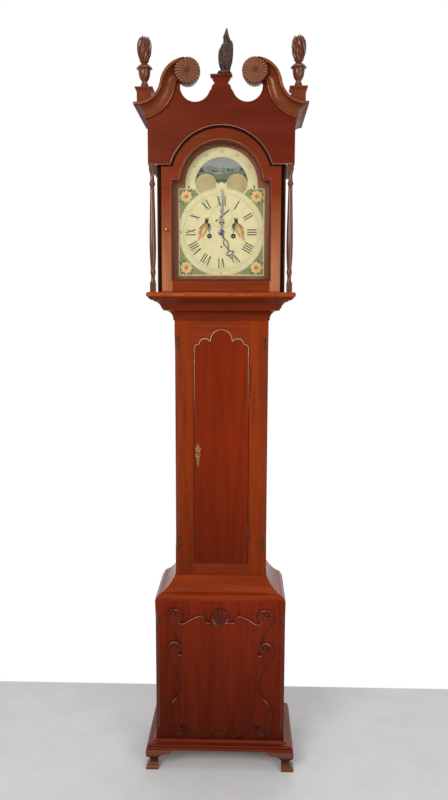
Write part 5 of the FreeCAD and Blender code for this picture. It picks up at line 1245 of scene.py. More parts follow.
@dataclass
class HoodOrnament:
    """Carving, columns and small mouldings of the hood, with lines and strips of painted shade and highlight.
    """

    front_y: float = -121.5
    rosette_x: float = 112.0
    rosette_z: float = 2504.0
    rosette_radius: float = 42.5
    rosette_reach: float = 36.0
    petals: int = 24
    neck_low: Place = (280.0, 2481.0, 78.8)
    neck_high: Place = (113.5, 2453.2, 90.0)
    neck_turn: float = 80.5
    finial_x: float = 258.0
    finial_z: float = 2454.2
    finial_height: float = 169.0
    door_arch: float = 174.6
    door_half: float = 204.0
    bird_x: float = 12.0
    bird_y: float = -113.5
    bird_z: float = 2499.2
    arch_half: float = 173.0
    arch_radius: float = 180.9
    arch_middle: float = 2155.3
    frieze_z: float = 2208.2
    neck_steps: int = 24
    neck_mitre: float = 250.0
    neck_beads: Table = ((41.4, 1.0, 14.0, 1.2), (41.4, 7.4, 24.0, 1.4), (7.6, 44.8, 50.0, 2.6))
    # Line of painted shade in the step under each neck's top fillet.
    neck_seam: tuple[float, ...] = (38.2, 9.0, 26.0, 1.3)
    petal_rise: float = 5.6
    dish: float = 1.2
    ridge: float = 0.75
    ridge_rise: float = 3.1
    strip: float = 14.0
    bead_in: float = 3.4
    bead: float = 1.3
    bead_out: float = 0.6
    quirk: float = 2.6
    quirk_in: float = 2.0
    quirk_drop: float = 4.6
    quirk_flat: float = 0.3
    column_half: float = 10.0
    column_chamfer: Point = (1.5, 2.0)
    column_foot: float = 33.5
    column_head: float = 22.0
    column: Profile = (
        (9.2, 32.0), (9.2, 34.0), (8.6, 36.5), (7.4, 40.0), (6.9, 45.0), (7.2, 54.0), (7.8, 60.0),
        (8.9, 63.5), (9.7, 67.0), (9.7, 70.5), (8.8, 74.0), (7.9, 76.5), (7.9, 80.0), (8.8, 92.0),
        (10.2, 112.0), (11.1, 135.0), (11.3, 160.0), (11.1, 190.0), (10.6, 220.0), (9.8, 255.0),
        (8.9, 290.0), (8.1, 320.0), (7.5, 345.0), (7.2, 359.0), (8.6, 361.5), (10.0, 364.5),
        (10.3, 367.5), (9.9, 370.5), (8.2, 373.5), (7.4, 377.0), (6.8, 388.0), (6.9, 396.0),
        (7.8, 402.0), (9.2, 406.0), (9.2, 410.0),
    )
    urn: Profile = (
        (14.0, 0), (14.2, 4), (13.2, 11), (12.2, 15.5), (9.6, 19), (9.2, 21), (10.2, 23.5), (13.8, 29),
        (17.0, 35), (19.2, 43), (20.4, 52), (20.8, 59), (22.0, 61), (26.6, 62.4), (27.2, 64), (25.6, 67),
        (22.0, 71.5), (18.0, 75), (13.0, 78), (11.0, 80), (10.4, 81.5), (11.6, 83.5), (15.2, 85.5),
        (16.0, 88), (14.0, 90.5), (12.0, 92),
    )
    flame_core: Profile = (
        (10.0, 90), (14.5, 97), (18.5, 112), (19.8, 128), (19.2, 146), (15.5, 155), (4.0, 158),
    )
    flame_foot: float = 90.0
    tip_foot: float = 130.0
    tongues: int = 11
    tongue_bar: float = 4.6
    tongue: Table = (
        (0.0, 13.0, 0.5), (0.12, 15.6, 0.8), (0.30, 18.8, 0.95), (0.50, 20.4, 1.0), (0.68, 20.6, 1.0),
        (0.84, 19.4, 0.9), (0.95, 17.0, 0.55), (1.0, 16.0, 0.12),
    )
    tip: Table = ((0.0, 13.0, 1.0), (0.4, 13.5, 1.0), (0.8, 11.0, 0.7), (1.0, 8.0, 0.1))
    rock: Profile = ((22, 0), (24, 3), (24.5, 7), (22, 11), (16, 14.5), (9, 17))

    @staticmethod
    def pair(piece: Piece, name: str, finish: Finish, stands_for: str = "") -> None:
        """Hang a piece and its mirror image on the hood."""
        Bench.fit(Bench.mirrored(piece), name, "hood", "mahogany", finish, stands_for)

    def build(self) -> None:
        """Make all the ornament."""
        self.pair(self.rosette(), "carved_rosettes", ROSETTE_WOOD, "rosettes")
        self.pair(self.drum(), "rosette_shaded_sides", PAINTED_SHADE)
        self.pair(self.ridges(), "rosette_ridge_highlights", RIDGE_HIGHLIGHT_WOOD)
        self.pair(self.finial(), "carved_finials", FLAME_WOOD, "flame_finials")
        Bench.fit(self.bird(), "carved_bird", "hood", "dark_wood", BIRD_WOOD, "bird_finial")
        Bench.fit(self.arch_bead(), "arch_bead", "hood", "mahogany", EDGE_HIGHLIGHT_WOOD)
        self.corner_strips()
        self.pair(self.turned_column(), "turned_columns", COLUMN_WOOD, "hood_columns")
        Bench.fit(self.door_quirk(), "door_arch_shadow_line", "hood_door", "mahogany", PAINTED_SHADE)
        self.pair(Bench.join([self.neck_line(*bead) for bead in self.neck_beads]), "neck_beads", NECK_EDGE)
        # Lines of painted shade along the necks.
        self.pair(self.neck_line(*self.neck_seam), "neck_shade_lines", PAINTED_SHADE)

    def turned_column(self) -> Piece:
        """Turned column between a square foot and a square head."""
        low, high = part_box("hood_columns")
        half = self.column_half
        inward, rise = self.column_chamfer
        x, y, foot, head = high.x / MM - half, (low.y + high.y) / 2 / MM, low.z / MM, high.z / MM
        parts = [Bench.turned(self.column, (x, y, foot), Axis.UP, 40)]
        for start, end, way in ((foot, foot + self.column_foot, 1), (head, head - self.column_head, -1)):
            neck = end - rise * way
            outline = [(x - half, start), (x + half, start), (x + half, neck), (x + half - inward, end),
                       (x - half + inward, end), (x - half, neck)]
            parts.append(Bench.slab(outline[::way], y - half, 2 * half))
        return Bench.join(parts)

    def corner_strips(self) -> None:
        """Strip of painted shade and a bead on the front edge of each side panel, behind its column."""
        low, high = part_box("hood_side_panels")
        face, foot, head, side = low.y / MM, low.z / MM, high.z / MM, high.x / MM
        # Near-black strip of painted shade where the corner behind the column lies in shade.
        strip = Bench.slab(rectangle(side - self.strip, foot, side - 0.2, head), face - 0.35, 0.3)
        self.pair(strip, "corner_strips", PAINTED_SHADE)
        bead_x = side - self.bead_in
        bead = Bench.line([(bead_x, foot), (bead_x, head)], face - self.bead_out, self.bead)
        self.pair(bead, "corner_beads", BEAD_WOOD)

    def drum(self) -> Piece:
        """Side of a rosette behind its face, near-black with painted shade."""
        rim = self.rosette_radius - 0.4
        profile = [(rim - 2.1, 0), (rim, 8), (rim, self.rosette_reach - 6.5)]
        return Bench.turned(profile, (self.rosette_x, self.front_y, self.rosette_z), Axis.FRONT, 64)

    def dished(self, share: float) -> float:
        """How far the face of a rosette stands out at a share of its radius, between its ridges."""
        return self.dish * (1.0 - share ** 2)

    def rosette(self) -> Piece:
        """Rim with a face of ridged petals."""
        size = self.rosette_radius
        reach = self.rosette_reach
        profile = [(size - 6.0, reach - 7), (size, reach - 7), (size, reach - 3)]
        profile += [(share * size, reach) for share in (0.97, 0.86, 0.72, 0.56, 0.40, 0.25, 0.11, 0.02)]
        place = (self.rosette_x, self.front_y, self.rosette_z)
        face = Bench.turned(profile, place, Axis.FRONT, 8 * self.petals)

        def petal(x: float, y: float, z: float) -> Place:
            """Ridge each petal and notch the rim between two."""
            dx, dz = x - self.rosette_x, z - self.rosette_z
            share = math.hypot(dx, dz) / size
            crest = 1.0 - abs(math.sin(0.5 * self.petals * math.atan2(dz, dx)))
            if self.front_y - y > reach - 6:
                y -= self.petal_rise * (crest - 0.45) * share ** 0.8 + self.dished(share)
                notch = 1.0 - 0.05 * (1.0 - crest) * share
                x, z = self.rosette_x + dx * notch, self.rosette_z + dz * notch
            return x, y, z

        return Bench.shape(face, petal)

    def ridges(self) -> Piece:
        """Pale lines of painted highlight on the crests between the petals of a rosette."""
        crests = []
        for index in range(self.petals):
            points = []
            for share in (0.24, 0.5, 0.76, 0.99):
                x, z = polar(self.rosette_x, self.rosette_z, share * self.rosette_radius,
                             2 * math.pi * index / self.petals)
                rise = self.ridge_rise * share ** 0.8 + self.dished(share)
                points.append((x, self.front_y - self.rosette_reach - rise, z))
            crests.append(Bench.tube(points, self.ridge, (0.4, 0.7, 0.9, 1.0), smooth=False))
        return Bench.join(crests)

    def lick(self, form: Table, first: float, twist: float, low: float, high: float) -> Piece:
        """One tongue of a finial's flame.

        Args:
            form: Share of the height, reach and share of the thickness at each point.
            first: Angle in radians at its foot.
            twist: How far it turns on its way up.
            low: Height of its foot above the plinth.
            high: Height of its tip.

        Returns:
            The tongue.
        """
        points = []
        for share, out, _ in form:
            x, y = polar(self.finial_x, self.front_y, out, first - twist * share)
            points.append((x, y, self.finial_z + low + (high - low) * share))
        return Bench.tube(points, self.tongue_bar, [thick for _, _, thick in form])

    def finial(self) -> Piece:
        """Urn with a twisted flame that ends in ragged tips."""
        place = (self.finial_x, self.front_y, self.finial_z)
        pieces = [Bench.turned(self.urn, place), Bench.turned(self.flame_core, place, Axis.UP, 24)]
        for index in range(self.tongues):
            first = 2 * math.pi * index / self.tongues
            top = self.finial_height - 3.0 - 9.0 * ((index * 5) % self.tongues) / self.tongues
            pieces.append(self.lick(self.tongue, first, 1.5, self.flame_foot, top))
            top = self.finial_height - 2.0 - 5.0 * (index % 3)
            pieces.append(self.lick(self.tip, first + 0.3, 1.2, self.tip_foot, top))
        return Bench.join(pieces)

    def bird(self) -> Piece:
        """Standing bird with folded wings and a pointed crest on a small rock."""
        foot = Vector((self.bird_x, self.bird_y, self.bird_z))

        def knob(at: Place, size: Place, lean: float) -> Piece:
            """Egg of three half sizes at an offset from the foot, leaned to the right in degrees."""
            Bench.clear()
            bpy.ops.mesh.primitive_uv_sphere_add(segments=28, ring_count=18, radius=1.0)
            egg = bpy.context.object
            egg.scale = Vector(size) * MM
            egg.rotation_euler = (0, math.radians(lean), 0)
            egg.location = (foot + Vector(at)) * MM
            Bench.settle()
            return egg

        def barbs(part: Piece, pitch: float, depth: float, lean: float) -> Piece:
            """Cut rows of feathers into an egg."""
            def row(px: float, py: float, pz: float) -> Place:
                """Step a point in and out along the feather rows."""
                wave = math.sin(2 * math.pi * (pz + lean * px) / pitch) * math.cos(2 * math.pi * px / 9.0)
                return px, foot.y + (py - foot.y) * (1.0 + depth * wave), pz
            return Bench.shape(part, row)

        def bent(offsets: Sequence[Place], radius: float, taper: Sequence[float]) -> Piece:
            """Tapered bar along offsets from the foot."""
            return Bench.tube([foot + Vector(offset) for offset in offsets], radius, taper)

        parts = [
            barbs(knob((2, 0, 60), (19, 17, 42), 3), 9.0, 0.12, 0.2),
            barbs(knob((-2, -6, 72), (15, 13, 28), -4), 8.0, 0.12, -0.2),
            barbs(knob((-14, 2, 53), (9.2, 13, 35), -3), 12.0, 0.16, 1.2),
            barbs(knob((18, 1, 66), (10.0, 14, 45), 4), 12.0, 0.16, -1.2),
            knob((6, -2, 103), (13.0, 12, 22), 3),
            knob((3.6, -3, 119), (10.6, 11.5, 15.0), 2),
            knob((8, 9, 30), (12, 6, 24), 6),
            bent([(1, -10, 121), (-3, -17, 120), (-4.5, -19.5, 114)], 4.0, (1.0, 0.75, 0.15)),
            bent([(4, -2, 118), (4.4, -1, 131), (5.2, 0, 139), (5.6, 0, 149.5)], 9.0, (1.0, 0.9, 0.62, 0.22)),
            Bench.turned(self.rock, foot + Vector((-2, 0, 0)), Axis.UP, 28),
        ]
        for reach in (-5.0, 8.0):
            hip = foot + Vector((reach, -3, 12))
            parts.append(Bench.turned([(5.5, 0), (4.6, 6), (6.0, 18)], hip, Axis.UP, 14))
        return Bench.carve(Bench.join(parts), 1.3, 2)

    def neck_line(self, out: float, down: float, last: float, radius: float) -> Piece:
        """Bead along the right hand swan neck; the same path also makes a line of painted shade.

        Args:
            out: Its reach in front of the scroll board.
            down: Its distance below the upper edge.
            last: Angle in degrees at which it meets the rosette.
            radius: Half its width.

        Returns:
            The bead.
        """
        low_x, low_z, low_radius = self.neck_low
        high_x, high_z, high_radius = self.neck_high
        mitre = self.neck_mitre + out
        path = [(mitre - 0.5, low_z - low_radius - down)] if mitre > low_x else []
        for index in range(self.neck_steps + 1):
            turn = math.radians(self.neck_turn * index / self.neck_steps)
            x = low_x - (low_radius + down) * math.sin(turn)
            if x < mitre:
                path.append((x, low_z - (low_radius + down) * math.cos(turn)))
        reach = high_radius - down
        for index in range(1, self.neck_steps + 1):
            turn = math.radians(self.neck_turn + (last - self.neck_turn) * index / self.neck_steps)
            path.append((high_x + reach * math.sin(turn), high_z + reach * math.cos(turn)))
        return Bench.line(path, self.front_y - out, radius)

    def arch(self, radius: float, less: float = 0.0) -> list[Point]:
        """Points of a bow about the middle of the hood's arch, shorter at each end by some degrees."""
        spread = math.degrees(math.asin(self.arch_half / self.arch_radius)) - less
        return circle(0, self.arch_middle, radius, 60, 90 - spread, 90 + spread)

    def door_quirk(self) -> Piece:
        """Flat line of painted shadow along the upper edge of the glazed door, in the gap under the arch."""
        y = self.front_y + self.quirk_in
        bow = self.arch(self.door_arch, 3.0)
        level = self.frieze_z - self.quirk_drop
        path = [(self.door_half, level), (bow[0][0] + 2.0, level)] + bow
        path += [(bow[-1][0] - 2.0, level), (-self.door_half, level)]
        line = Bench.line(path, y, self.quirk)
        return Bench.shape(line, lambda px, py, pz: (px, y + self.quirk_flat * (py - y), pz))

    def arch_bead(self) -> Piece:
        """Thin bead along the lower edge of the scroll board, pale as a painted highlight."""
        end, level = self.arch_half + 72.0, self.frieze_z + 1.3
        path = [(end, level)] + self.arch(self.arch_radius + 1.3) + [(-end, level)]
        return Bench.line(path, self.front_y - 0.8, 1.4)


@dataclass
class HoodDoor:
    """Inner moulding of the glazed door."""

    half: float = 168.0
    sill_z: float = 1820.2
    shoulder_z: float = 2156.2
    arch_radius: float = 141.0
    arch_middle: float = 2146.2
    front_y: float = -119.5
    beads: Table = ((-1.0, 0.5, 3.6), (1.6, 6.5, 4.0), (-4.6, 0.2, 1.2))

    def build(self) -> None:
        """Make the inner bead in two steps and a line of painted highlight round it."""
        first = math.degrees(math.asin((self.shoulder_z - self.arch_middle) / self.arch_radius))
        rims = []
        for inset, sink, radius in self.beads:
            bow = circle(0, self.arch_middle, self.arch_radius - inset, 48, first, 180 - first)
            x = self.half - inset
            low, high = self.sill_z + inset, self.shoulder_z - inset
            path = [(-x, low), (x, low), (x, high)] + bow + [(-x, high)]
            rims.append(Bench.line(path, self.front_y + sink, radius, closed=True))
        Bench.fit(rims.pop(), "glass_bead_highlight", "hood_door", "mahogany", EDGE_HIGHLIGHT_WOOD)
        Bench.fit(Bench.join(rims), "glass_bead", "hood_door", "mahogany", BEAD_WOOD)


HOURS = ("I", "II", "III", "IIII", "V", "VI", "VII", "VIII", "IX", "X", "XI", "XII")
# Width of each letter, and of each stroke its inner and outer place and its inner and outer width
LETTERS: dict[str, tuple[float, Table]] = {
    "I": (8.4, ((0.0, 0.0, 4.0, 4.0),)),
    "V": (17.0, ((0.0, -5.5, 3.8, 4.2), (0.6, 5.8, 1.7, 1.8))),
    "X": (17.0, ((5.2, -5.2, 4.2, 4.2), (-5.2, 5.2, 1.7, 1.7))),
}


@dataclass
class Dial:
    """Painting of the dial, layer on layer of thin plates in front of it."""

    middle_z: float = 1986.2
    front_y: float = -76.5
    ring: float = 150.0
    square: float = 149.0
    numeral_low: float = 90.0
    numeral_high: float = 124.0
    minute_radius: float = 141.5
    minute_dots: float = 131.7
    minute_bands: Profile = ((134.5, 0.7), (129.0, 0.7), (149.0, 0.8))
    seconds_z: float = 2040.2
    seconds_in: float = 36.5
    seconds_out: float = 40.0
    seconds_radius: float = 46.0
    date_z: float = 1936.0
    date_dots: float = 22.0
    date_hole: float = 3.2
    tick_half: float = 0.3
    dot: float = 0.9
    moon_z: float = 2148.2
    moon_y: float = -73.9
    moon_edge: float = 92.0
    night_edge: float = 91.0
    lunar_radius: float = 112.0
    lunar_dots: float = 100.0
    lunar_days: int = 29
    hump_x: float = 54.0
    hump_radius: float = 37.0
    hump_gap: float = 0.8
    hump_rim: float = 3.6
    disc_clear: float = 151.5
    rim_clear: float = 149.5
    winding_x: float = 42.0
    winding_z: float = 1973.2
    collar: Profile = (
        (6.3, -1.9), (8.4, -0.1), (8.6, 0.35), (6.9, 0.5), (6.0, 0.3), (6.0, -1.8), (3.5, -1.9),
    )
    arbor: Profile = ((3.3, 0), (3.3, 1.4), (2.6, 1.8))
    arbor_in: float = 2.0
    flower: Point = (123.0, 122.0)
    flower_steps: int = 96
    petal_foot: float = 15.0
    petal_length: float = 6.0
    heart: float = 7.6
    eye: float = 2.6
    leaf_width: float = 7.0
    flower_leaves: Table = (
        (64, 13, 17), (-64, 13, 17), (96, 13, 22), (-96, 13, 22), (150, 14, 13), (-150, 14, 13),
        (180, 14, 13), (118, 26, 15), (-118, 26, 15),
    )
    spray: Point = (51.0, 39.0)
    spray_leaf: float = 6.5
    spray_cup: float = 6.6
    spray_petals: Table = ((-65, 78, 13), (-75, 62, 14), (-55, 58, 12), (-85, 44, 11))
    spray_lights: Table = ((-68, 70, 6), (-58, 46, 6), (-79, 44, 5))
    spray_leaves: Table = ((-104, 46), (-118, 36), (-132, 26), (-40, 40), (72, 16), (110, 18))
    moon_face: Point = (62.0, 27.0)
    clumps: Table = ((-28, 47, 5), (-19, 46, 4), (24, 50, 6), (37, 47, 5), (8, 44, 3))
    layer: float = 0.11
    film: float = 0.099
    ink_coat: int = 2
    moon_layer: float = 0.05
    moon_film: float = 0.045

    def coat(self, level: int) -> float:
        """Front of a layer of paint."""
        return self.front_y - self.layer * level

    def paint(self, outlines: Sequence[Sequence[Point]], level: int, name: str, finish: Paint) -> None:
        """Lay outlines on the dial as one coat."""
        plates = [Bench.slab(outline, self.coat(level), self.film) for outline in outlines]
        Bench.fit(Bench.join(plates), name, "case", "painted_dial", finish)

    def build(self) -> None:
        """Paint the dial from the ground up."""
        self.corners()
        self.numerals()
        self.tracks()
        self.humps()
        self.sprigs()
        self.moon()

    def corners(self) -> None:
        """Olive corners, each with a flower and its leaves."""
        grounds, petals, hearts, eyes, leaves = [], [], [], [], []
        size = self.square - 3.0
        low = math.degrees(math.acos(size / (self.ring + 1)))
        for quarter, (sx, sz) in enumerate(((1, 1), (-1, 1), (-1, -1), (1, -1))):
            first = 90.0 * quarter
            bow = circle(0, self.middle_z, self.ring + 1, 24, first + low, first + 90 - low)
            grounds.append([(sx * size, self.middle_z + sz * size)] + bow[::-1])
            x, z = sx * self.flower[0], self.middle_z + sz * self.flower[1]
            petals.append(self.bloom(x, z))
            hearts.append(circle(x, z, self.heart, 18))
            eyes.append(circle(x, z, self.eye, 14))
            inward = math.degrees(math.atan2(-sz, -sx))
            for turn, reach, length in self.flower_leaves:
                stalk = polar(x, z, reach, math.radians(inward + turn))
                leaves.append(leaf(*stalk, length, self.leaf_width, inward + turn * 1.04))
        self.paint(grounds, 1, "corner_grounds", OLIVE)
        self.paint(leaves, 2, "corner_leaves", LEAF)
        self.paint(petals, 3, "corner_petals", PETAL)
        self.paint(hearts, 4, "corner_hearts", BUD)
        self.paint(eyes, 5, "corner_eyes", HEART)

    def bloom(self, x: float, z: float) -> list[Point]:
        """Outline of a flower of eight petals."""
        points = []
        for index in range(self.flower_steps):
            turn = 2 * math.pi * index / self.flower_steps
            petal = self.petal_length * abs(math.cos(4.0 * turn + 0.4)) ** 0.6
            points.append(polar(x, z, self.petal_foot + petal, turn))
        return points

    def stroke(self, hour: int, u0: float, u1: float, width0: float, width1: float) -> list[Point]:
        """One stroke of an hour's number, from the inner to the outer end.

        Args:
            hour: Hour whose place on the ring it takes.
            u0: Place across the number at its inner end.
            u1: Place across the number at its outer end.
            width0: Width at the inner end.
            width1: Width at the outer end.

        Returns:
            Four corners.
        """
        turn = math.radians(30.0 * hour)
        low, high = self.numeral_low, self.numeral_high
        corners = []
        for u, v in ((u0 - 0.5 * width0, low), (u0 + 0.5 * width0, low), (u1 + 0.5 * width1, high),
                     (u1 - 0.5 * width1, high)):
            corners.append((v * math.sin(turn) + u * math.cos(turn),
                            self.middle_z + v * math.cos(turn) - u * math.sin(turn)))
        return corners

    def numerals(self) -> None:
        """Twelve hour numbers that stand with their feet to the middle."""
        strokes = []
        for hour, letters in enumerate(HOURS, 1):
            u = -0.5 * sum(LETTERS[letter][0] for letter in letters)
            for letter in letters:
                wide, forms = LETTERS[letter]
                mid = u + 0.5 * wide
                for inner, outer, *widths in forms:
                    strokes.append(self.stroke(hour, mid + inner, mid + outer, *widths))
                u += wide
        self.paint(strokes, self.ink_coat, "hour_numbers", INK)

    def band(self, z: float, radius: float, width: float) -> Piece:
        """Thin painted circle line about a height on the middle of the dial."""
        middle = Vector((0, self.coat(self.ink_coat), z)) * MM
        Bench.clear()
        bpy.ops.mesh.primitive_circle_add(vertices=96, radius=radius * MM, rotation=(math.pi / 2, 0, 0),
                                          location=middle)
        line = bpy.context.object
        Bench.settle()
        Bench.edit(line)
        bpy.ops.mesh.extrude_region_move()
        share = (radius - width) / radius
        bpy.ops.transform.resize(value=(share, 1.0, share), center_override=middle)
        bpy.ops.mesh.select_all(action="SELECT")
        bpy.ops.mesh.extrude_region_move(TRANSFORM_OT_translate={"value": (0, self.film * MM, 0)})
        Bench.close()
        return line

    def mark(self, outline: Sequence[Point]) -> Piece:
        """Small mark in ink."""
        return Bench.slab(outline, self.coat(self.ink_coat), self.film)

    def dots(self, z: float, radius: float, size: float, count: int) -> Piece:
        """Ring of small painted dots about a height on the middle of the dial."""
        return Bench.ring(self.mark(circle(0, z + radius, size, 8)), count, 0, z)

    def number(self, value: int, size: float, z: float, radius: float, turn: float) -> Piece:
        """Number on a ring.

        Args:
            value: Number to write.
            size: Height of the type.
            z: Height of the ring's middle.
            radius: Radius of the ring.
            turn: Clockwise turn in radians from the top.

        Returns:
            The number.
        """
        x, up = radius * math.sin(turn), radius * math.cos(turn)
        return Bench.words(str(value), size, x, z + up, turn, self.coat(self.ink_coat))

    def tracks(self) -> None:
        """Minute track, seconds ring, date ring and lunar days."""
        middle, seconds = self.middle_z, self.seconds_z
        faint = [self.band(middle, radius, width) for radius, width in self.minute_bands]
        faint += [self.band(seconds, self.seconds_out, 0.6), self.band(seconds, self.seconds_in, 0.5)]
        faint.append(self.dots(self.date_z, self.date_dots, 0.7, 31))
        low, high = seconds + self.seconds_in, seconds + self.seconds_out
        tick = self.mark(rectangle(-self.tick_half, low, self.tick_half, high))
        faint.append(Bench.ring(tick, 60, 0, seconds))
        ink = [self.dots(middle, self.minute_dots, self.dot, 60)]
        lunar = []
        for minute in range(5, 65, 5):
            large = minute % 15 == 0
            size = 10.0 if large else 6.0
            number = self.number(minute, size, middle, self.minute_radius, math.radians(6.0 * minute))
            (ink if large else faint).append(number)
        for second in range(10, 70, 10):
            faint.append(self.number(second, 6.5, seconds, self.seconds_radius, math.radians(6.0 * second)))
        for day in range(1, self.lunar_days + 1):
            turn = math.radians(-80.0 + 160.0 * (day - 1) / (self.lunar_days - 1))
            if day % 5 == 0:
                lunar.append(self.number(day, 15.0, self.moon_z, self.lunar_radius, turn))
            x, up = self.lunar_dots * math.sin(turn), self.lunar_dots * math.cos(turn)
            faint.append(self.mark(circle(x, self.moon_z + up, self.dot, 8)))
        Bench.fit(Bench.join(faint), "faint_tracks", "case", "painted_dial", FAINT)
        Bench.fit(Bench.join(ink), "minute_track", "case", "painted_dial", INK)
        Bench.fit(Bench.join(lunar), "lunar_days", "case", "painted_dial", LUNAR)

    def above_ring(self, outline: Sequence[Point], radius: float) -> list[Point]:
        """Outline with what lies inside a circle about the hands pushed out to it."""
        points = []
        for x, z in outline:
            far = math.hypot(x, z - self.middle_z)
            grow = max(1.0, radius / far)
            points.append((x * grow, self.middle_z + (z - self.middle_z) * grow))
        return points

    def humps(self) -> None:
        """Tan discs over the moon's hiding places, collars of the winding holes and the date hole."""
        discs, rims, collars = [], [], []
        for side in SIDES:
            x = side * self.hump_x
            disc = circle(x, self.moon_z, self.hump_radius - self.hump_gap, 60)
            discs.append(self.above_ring(disc, self.disc_clear))
            rim = circle(x, self.moon_z, self.hump_radius + self.hump_rim, 60, 170, 370)
            rims.append(self.above_ring(rim, self.rim_clear))
        self.paint(rims, 6, "hump_rims", CREAM)
        self.paint(discs, 7, "hump_discs", TAN)
        for side in SIDES:
            place = (side * self.winding_x, self.front_y, self.winding_z)
            collars.append(Bench.turned(self.collar, place, Axis.FRONT, 32))
        Bench.fit(Bench.join(collars), "winding_collars", "case", "painted_dial", NIGHT)
        for body, side in zip(("going_barrel", "strike_barrel"), SIDES):
            place = (side * self.winding_x, self.front_y + self.arbor_in, self.winding_z)
            square = Bench.turned(self.arbor, place, Axis.FRONT, 4)
            Bench.fit(square, body + "_square", body, "steel", BRASS)
        # Dark disc of painted shade for the inside of the small date hole.
        self.paint([circle(0, self.date_z, self.date_hole, 16)], 3, "date_hole", NIGHT)

    def sprigs(self) -> None:
        """Drooping trumpet flower with leaves beside each winding hole."""
        leaves, petals, bright, cups = [], [], [], []
        for side in SIDES:
            x, z = side * self.spray[0], self.middle_z + self.spray[1]
            start = 0.0 if side > 0 else 180.0
            for turn, length, width in self.spray_petals:
                petals.append(leaf(x, z - 2, length, width, start + side * turn))
            for turn, length, width in self.spray_lights:
                bright.append(leaf(x, z - 6, length, width, start + side * turn))
            for turn, length in self.spray_leaves:
                leaves.append(leaf(x, z - 3, length, self.spray_leaf, start + side * turn))
            cups.append(circle(x, z + 1, self.spray_cup, 18))
            cups.append(leaf(x, z + 2, 15, 9, start - side * 66))
        self.paint(leaves, 2, "spray_leaves", LEAF)
        self.paint(petals, 3, "spray_petals", BUD)
        self.paint(bright, 4, "spray_lights", PETAL)
        self.paint(cups, 5, "spray_cups", CUP)

    def hills(self, depth: float, level: float, rise: float) -> list[Point]:
        """Hill line above a chord of the moon disc.

        Args:
            depth: Height of the ground's foot above the disc's axis.
            level: Height of the chord.
            rise: Height of the hills.

        Returns:
            The outline.
        """
        reach = math.sqrt(self.moon_edge ** 2 - level ** 2)
        points = [(-reach, level), (-0.8 * reach, depth), (0.8 * reach, depth), (reach, level)]
        for index in range(1, 12):
            share = 1 - index / 6
            wave = math.sin(3.1 * share + rise) + 0.4 * math.sin(9 * share)
            points.append((reach * share, level + rise * wave))
        return points

    @staticmethod
    def clump(x: float, z: float, size: float) -> list[Point]:
        """Round clump of trees."""
        points = []
        for index in range(16):
            turn = 2 * math.pi * index / 16
            wide, high = 1.2 + 0.18 * math.sin(5 * turn), 0.8 + 0.2 * math.cos(4 * turn)
            points.append((x + size * wide * math.cos(turn), z + size * high * math.sin(turn)))
        return points

    def moon(self) -> None:
        """Two landscapes and two moons on the turning disc."""
        edge = self.night_edge
        face_x, face_radius = self.moon_face
        wedge = [(0, 9), (edge, 9)] + circle(0, 0, edge, 12, 8, 40) + [(34, 30)]
        woods = [self.clump(*place) for place in self.clumps]
        coats = (
            # Navy wedges beside the humps: night sky, dark also as painted shade of the humps.
            ("moon_night", NIGHT, [wedge, [(-x, z) for x, z in wedge[::-1]]]),
            ("moon_far_hills", FAR_HILL, [self.hills(40, 60, 4.0)]),
            ("moon_near_hills", NEAR_HILL, [self.hills(12, 42, 5.0)]),
            ("moon_woods", WOODLAND, [self.hills(8, 18, 3.0)] + woods),
            ("moon_faces", MOON, [circle(face_x, 0, face_radius, 36)]),
        )
        for level, (name, finish, outlines) in enumerate(coats, 1):
            slabs = []
            for way in (1, -1):
                for outline in outlines:
                    plate = [(way * x, self.moon_z + way * z) for x, z in outline]
                    slabs.append(Bench.slab(plate, self.moon_y - self.moon_layer * level, self.moon_film))
            Bench.fit(Bench.join(slabs), name, "moon", "painted_sky", finish)


@dataclass
class Lines:
    """Gut lines, each a bight that rides on its weight and two straight runs."""

    y: float = 18.5
    outer: float = 65.3
    inner: float = 24.7
    pulley_z: float = 656.0
    barrel_z: float = 1973.2
    seat_z: float = 1926.2
    radius: float = 1.0
    strand: float = 0.62
    strand_out: float = 0.35
    twist: float = 2.2
    steps: int = 40
    travel: float = 1180.0
    knot: Profile = ((1.2, 0), (3.0, 0.8), (3.2, 2.4), (2.4, 4.2), (0.8, 5.0))

    def build(self) -> None:
        """Make both lines, each of two runs and a bight."""
        for name, side in zip(("going", "strike"), SIDES):
            loop = 0.5 * (self.outer - self.inner)
            middle = side * 0.5 * (self.outer + self.inner)
            bight = Bench.line(circle(middle, self.pulley_z, loop, 22, 180, 360), self.y, self.radius)
            Bench.fit(bight, name + "_bight", name + "_weight", "gut", GUT, name + "_line")
            for part, x, top in (("fall", self.outer, self.barrel_z), ("rise", self.inner, self.seat_z)):
                run = self.run(side * x, top, part == "rise")
                Bench.fit(run, name + "_" + part, "case", "gut", GUT)
                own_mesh(run)

    def run(self, x: float, top: float, knotted: bool) -> Piece:
        """Straight twisted run, with a knot on the seatboard where it ends there."""
        strands = []
        for first in (0.0, math.pi):
            points = []
            for index in range(self.steps + 1):
                across, y = polar(x, self.y, self.strand_out, first + self.twist * index)
                points.append((across, y, self.pulley_z + (top - self.pulley_z) * index / self.steps))
            strands.append(Bench.tube(points, self.strand))
        if knotted:
            strands.append(Bench.turned(self.knot, (x, self.y, top), Axis.UP, 14))
        return Bench.join(strands)


Bars = tuple[tuple[Profile, float, tuple[float, ...], bool], ...]


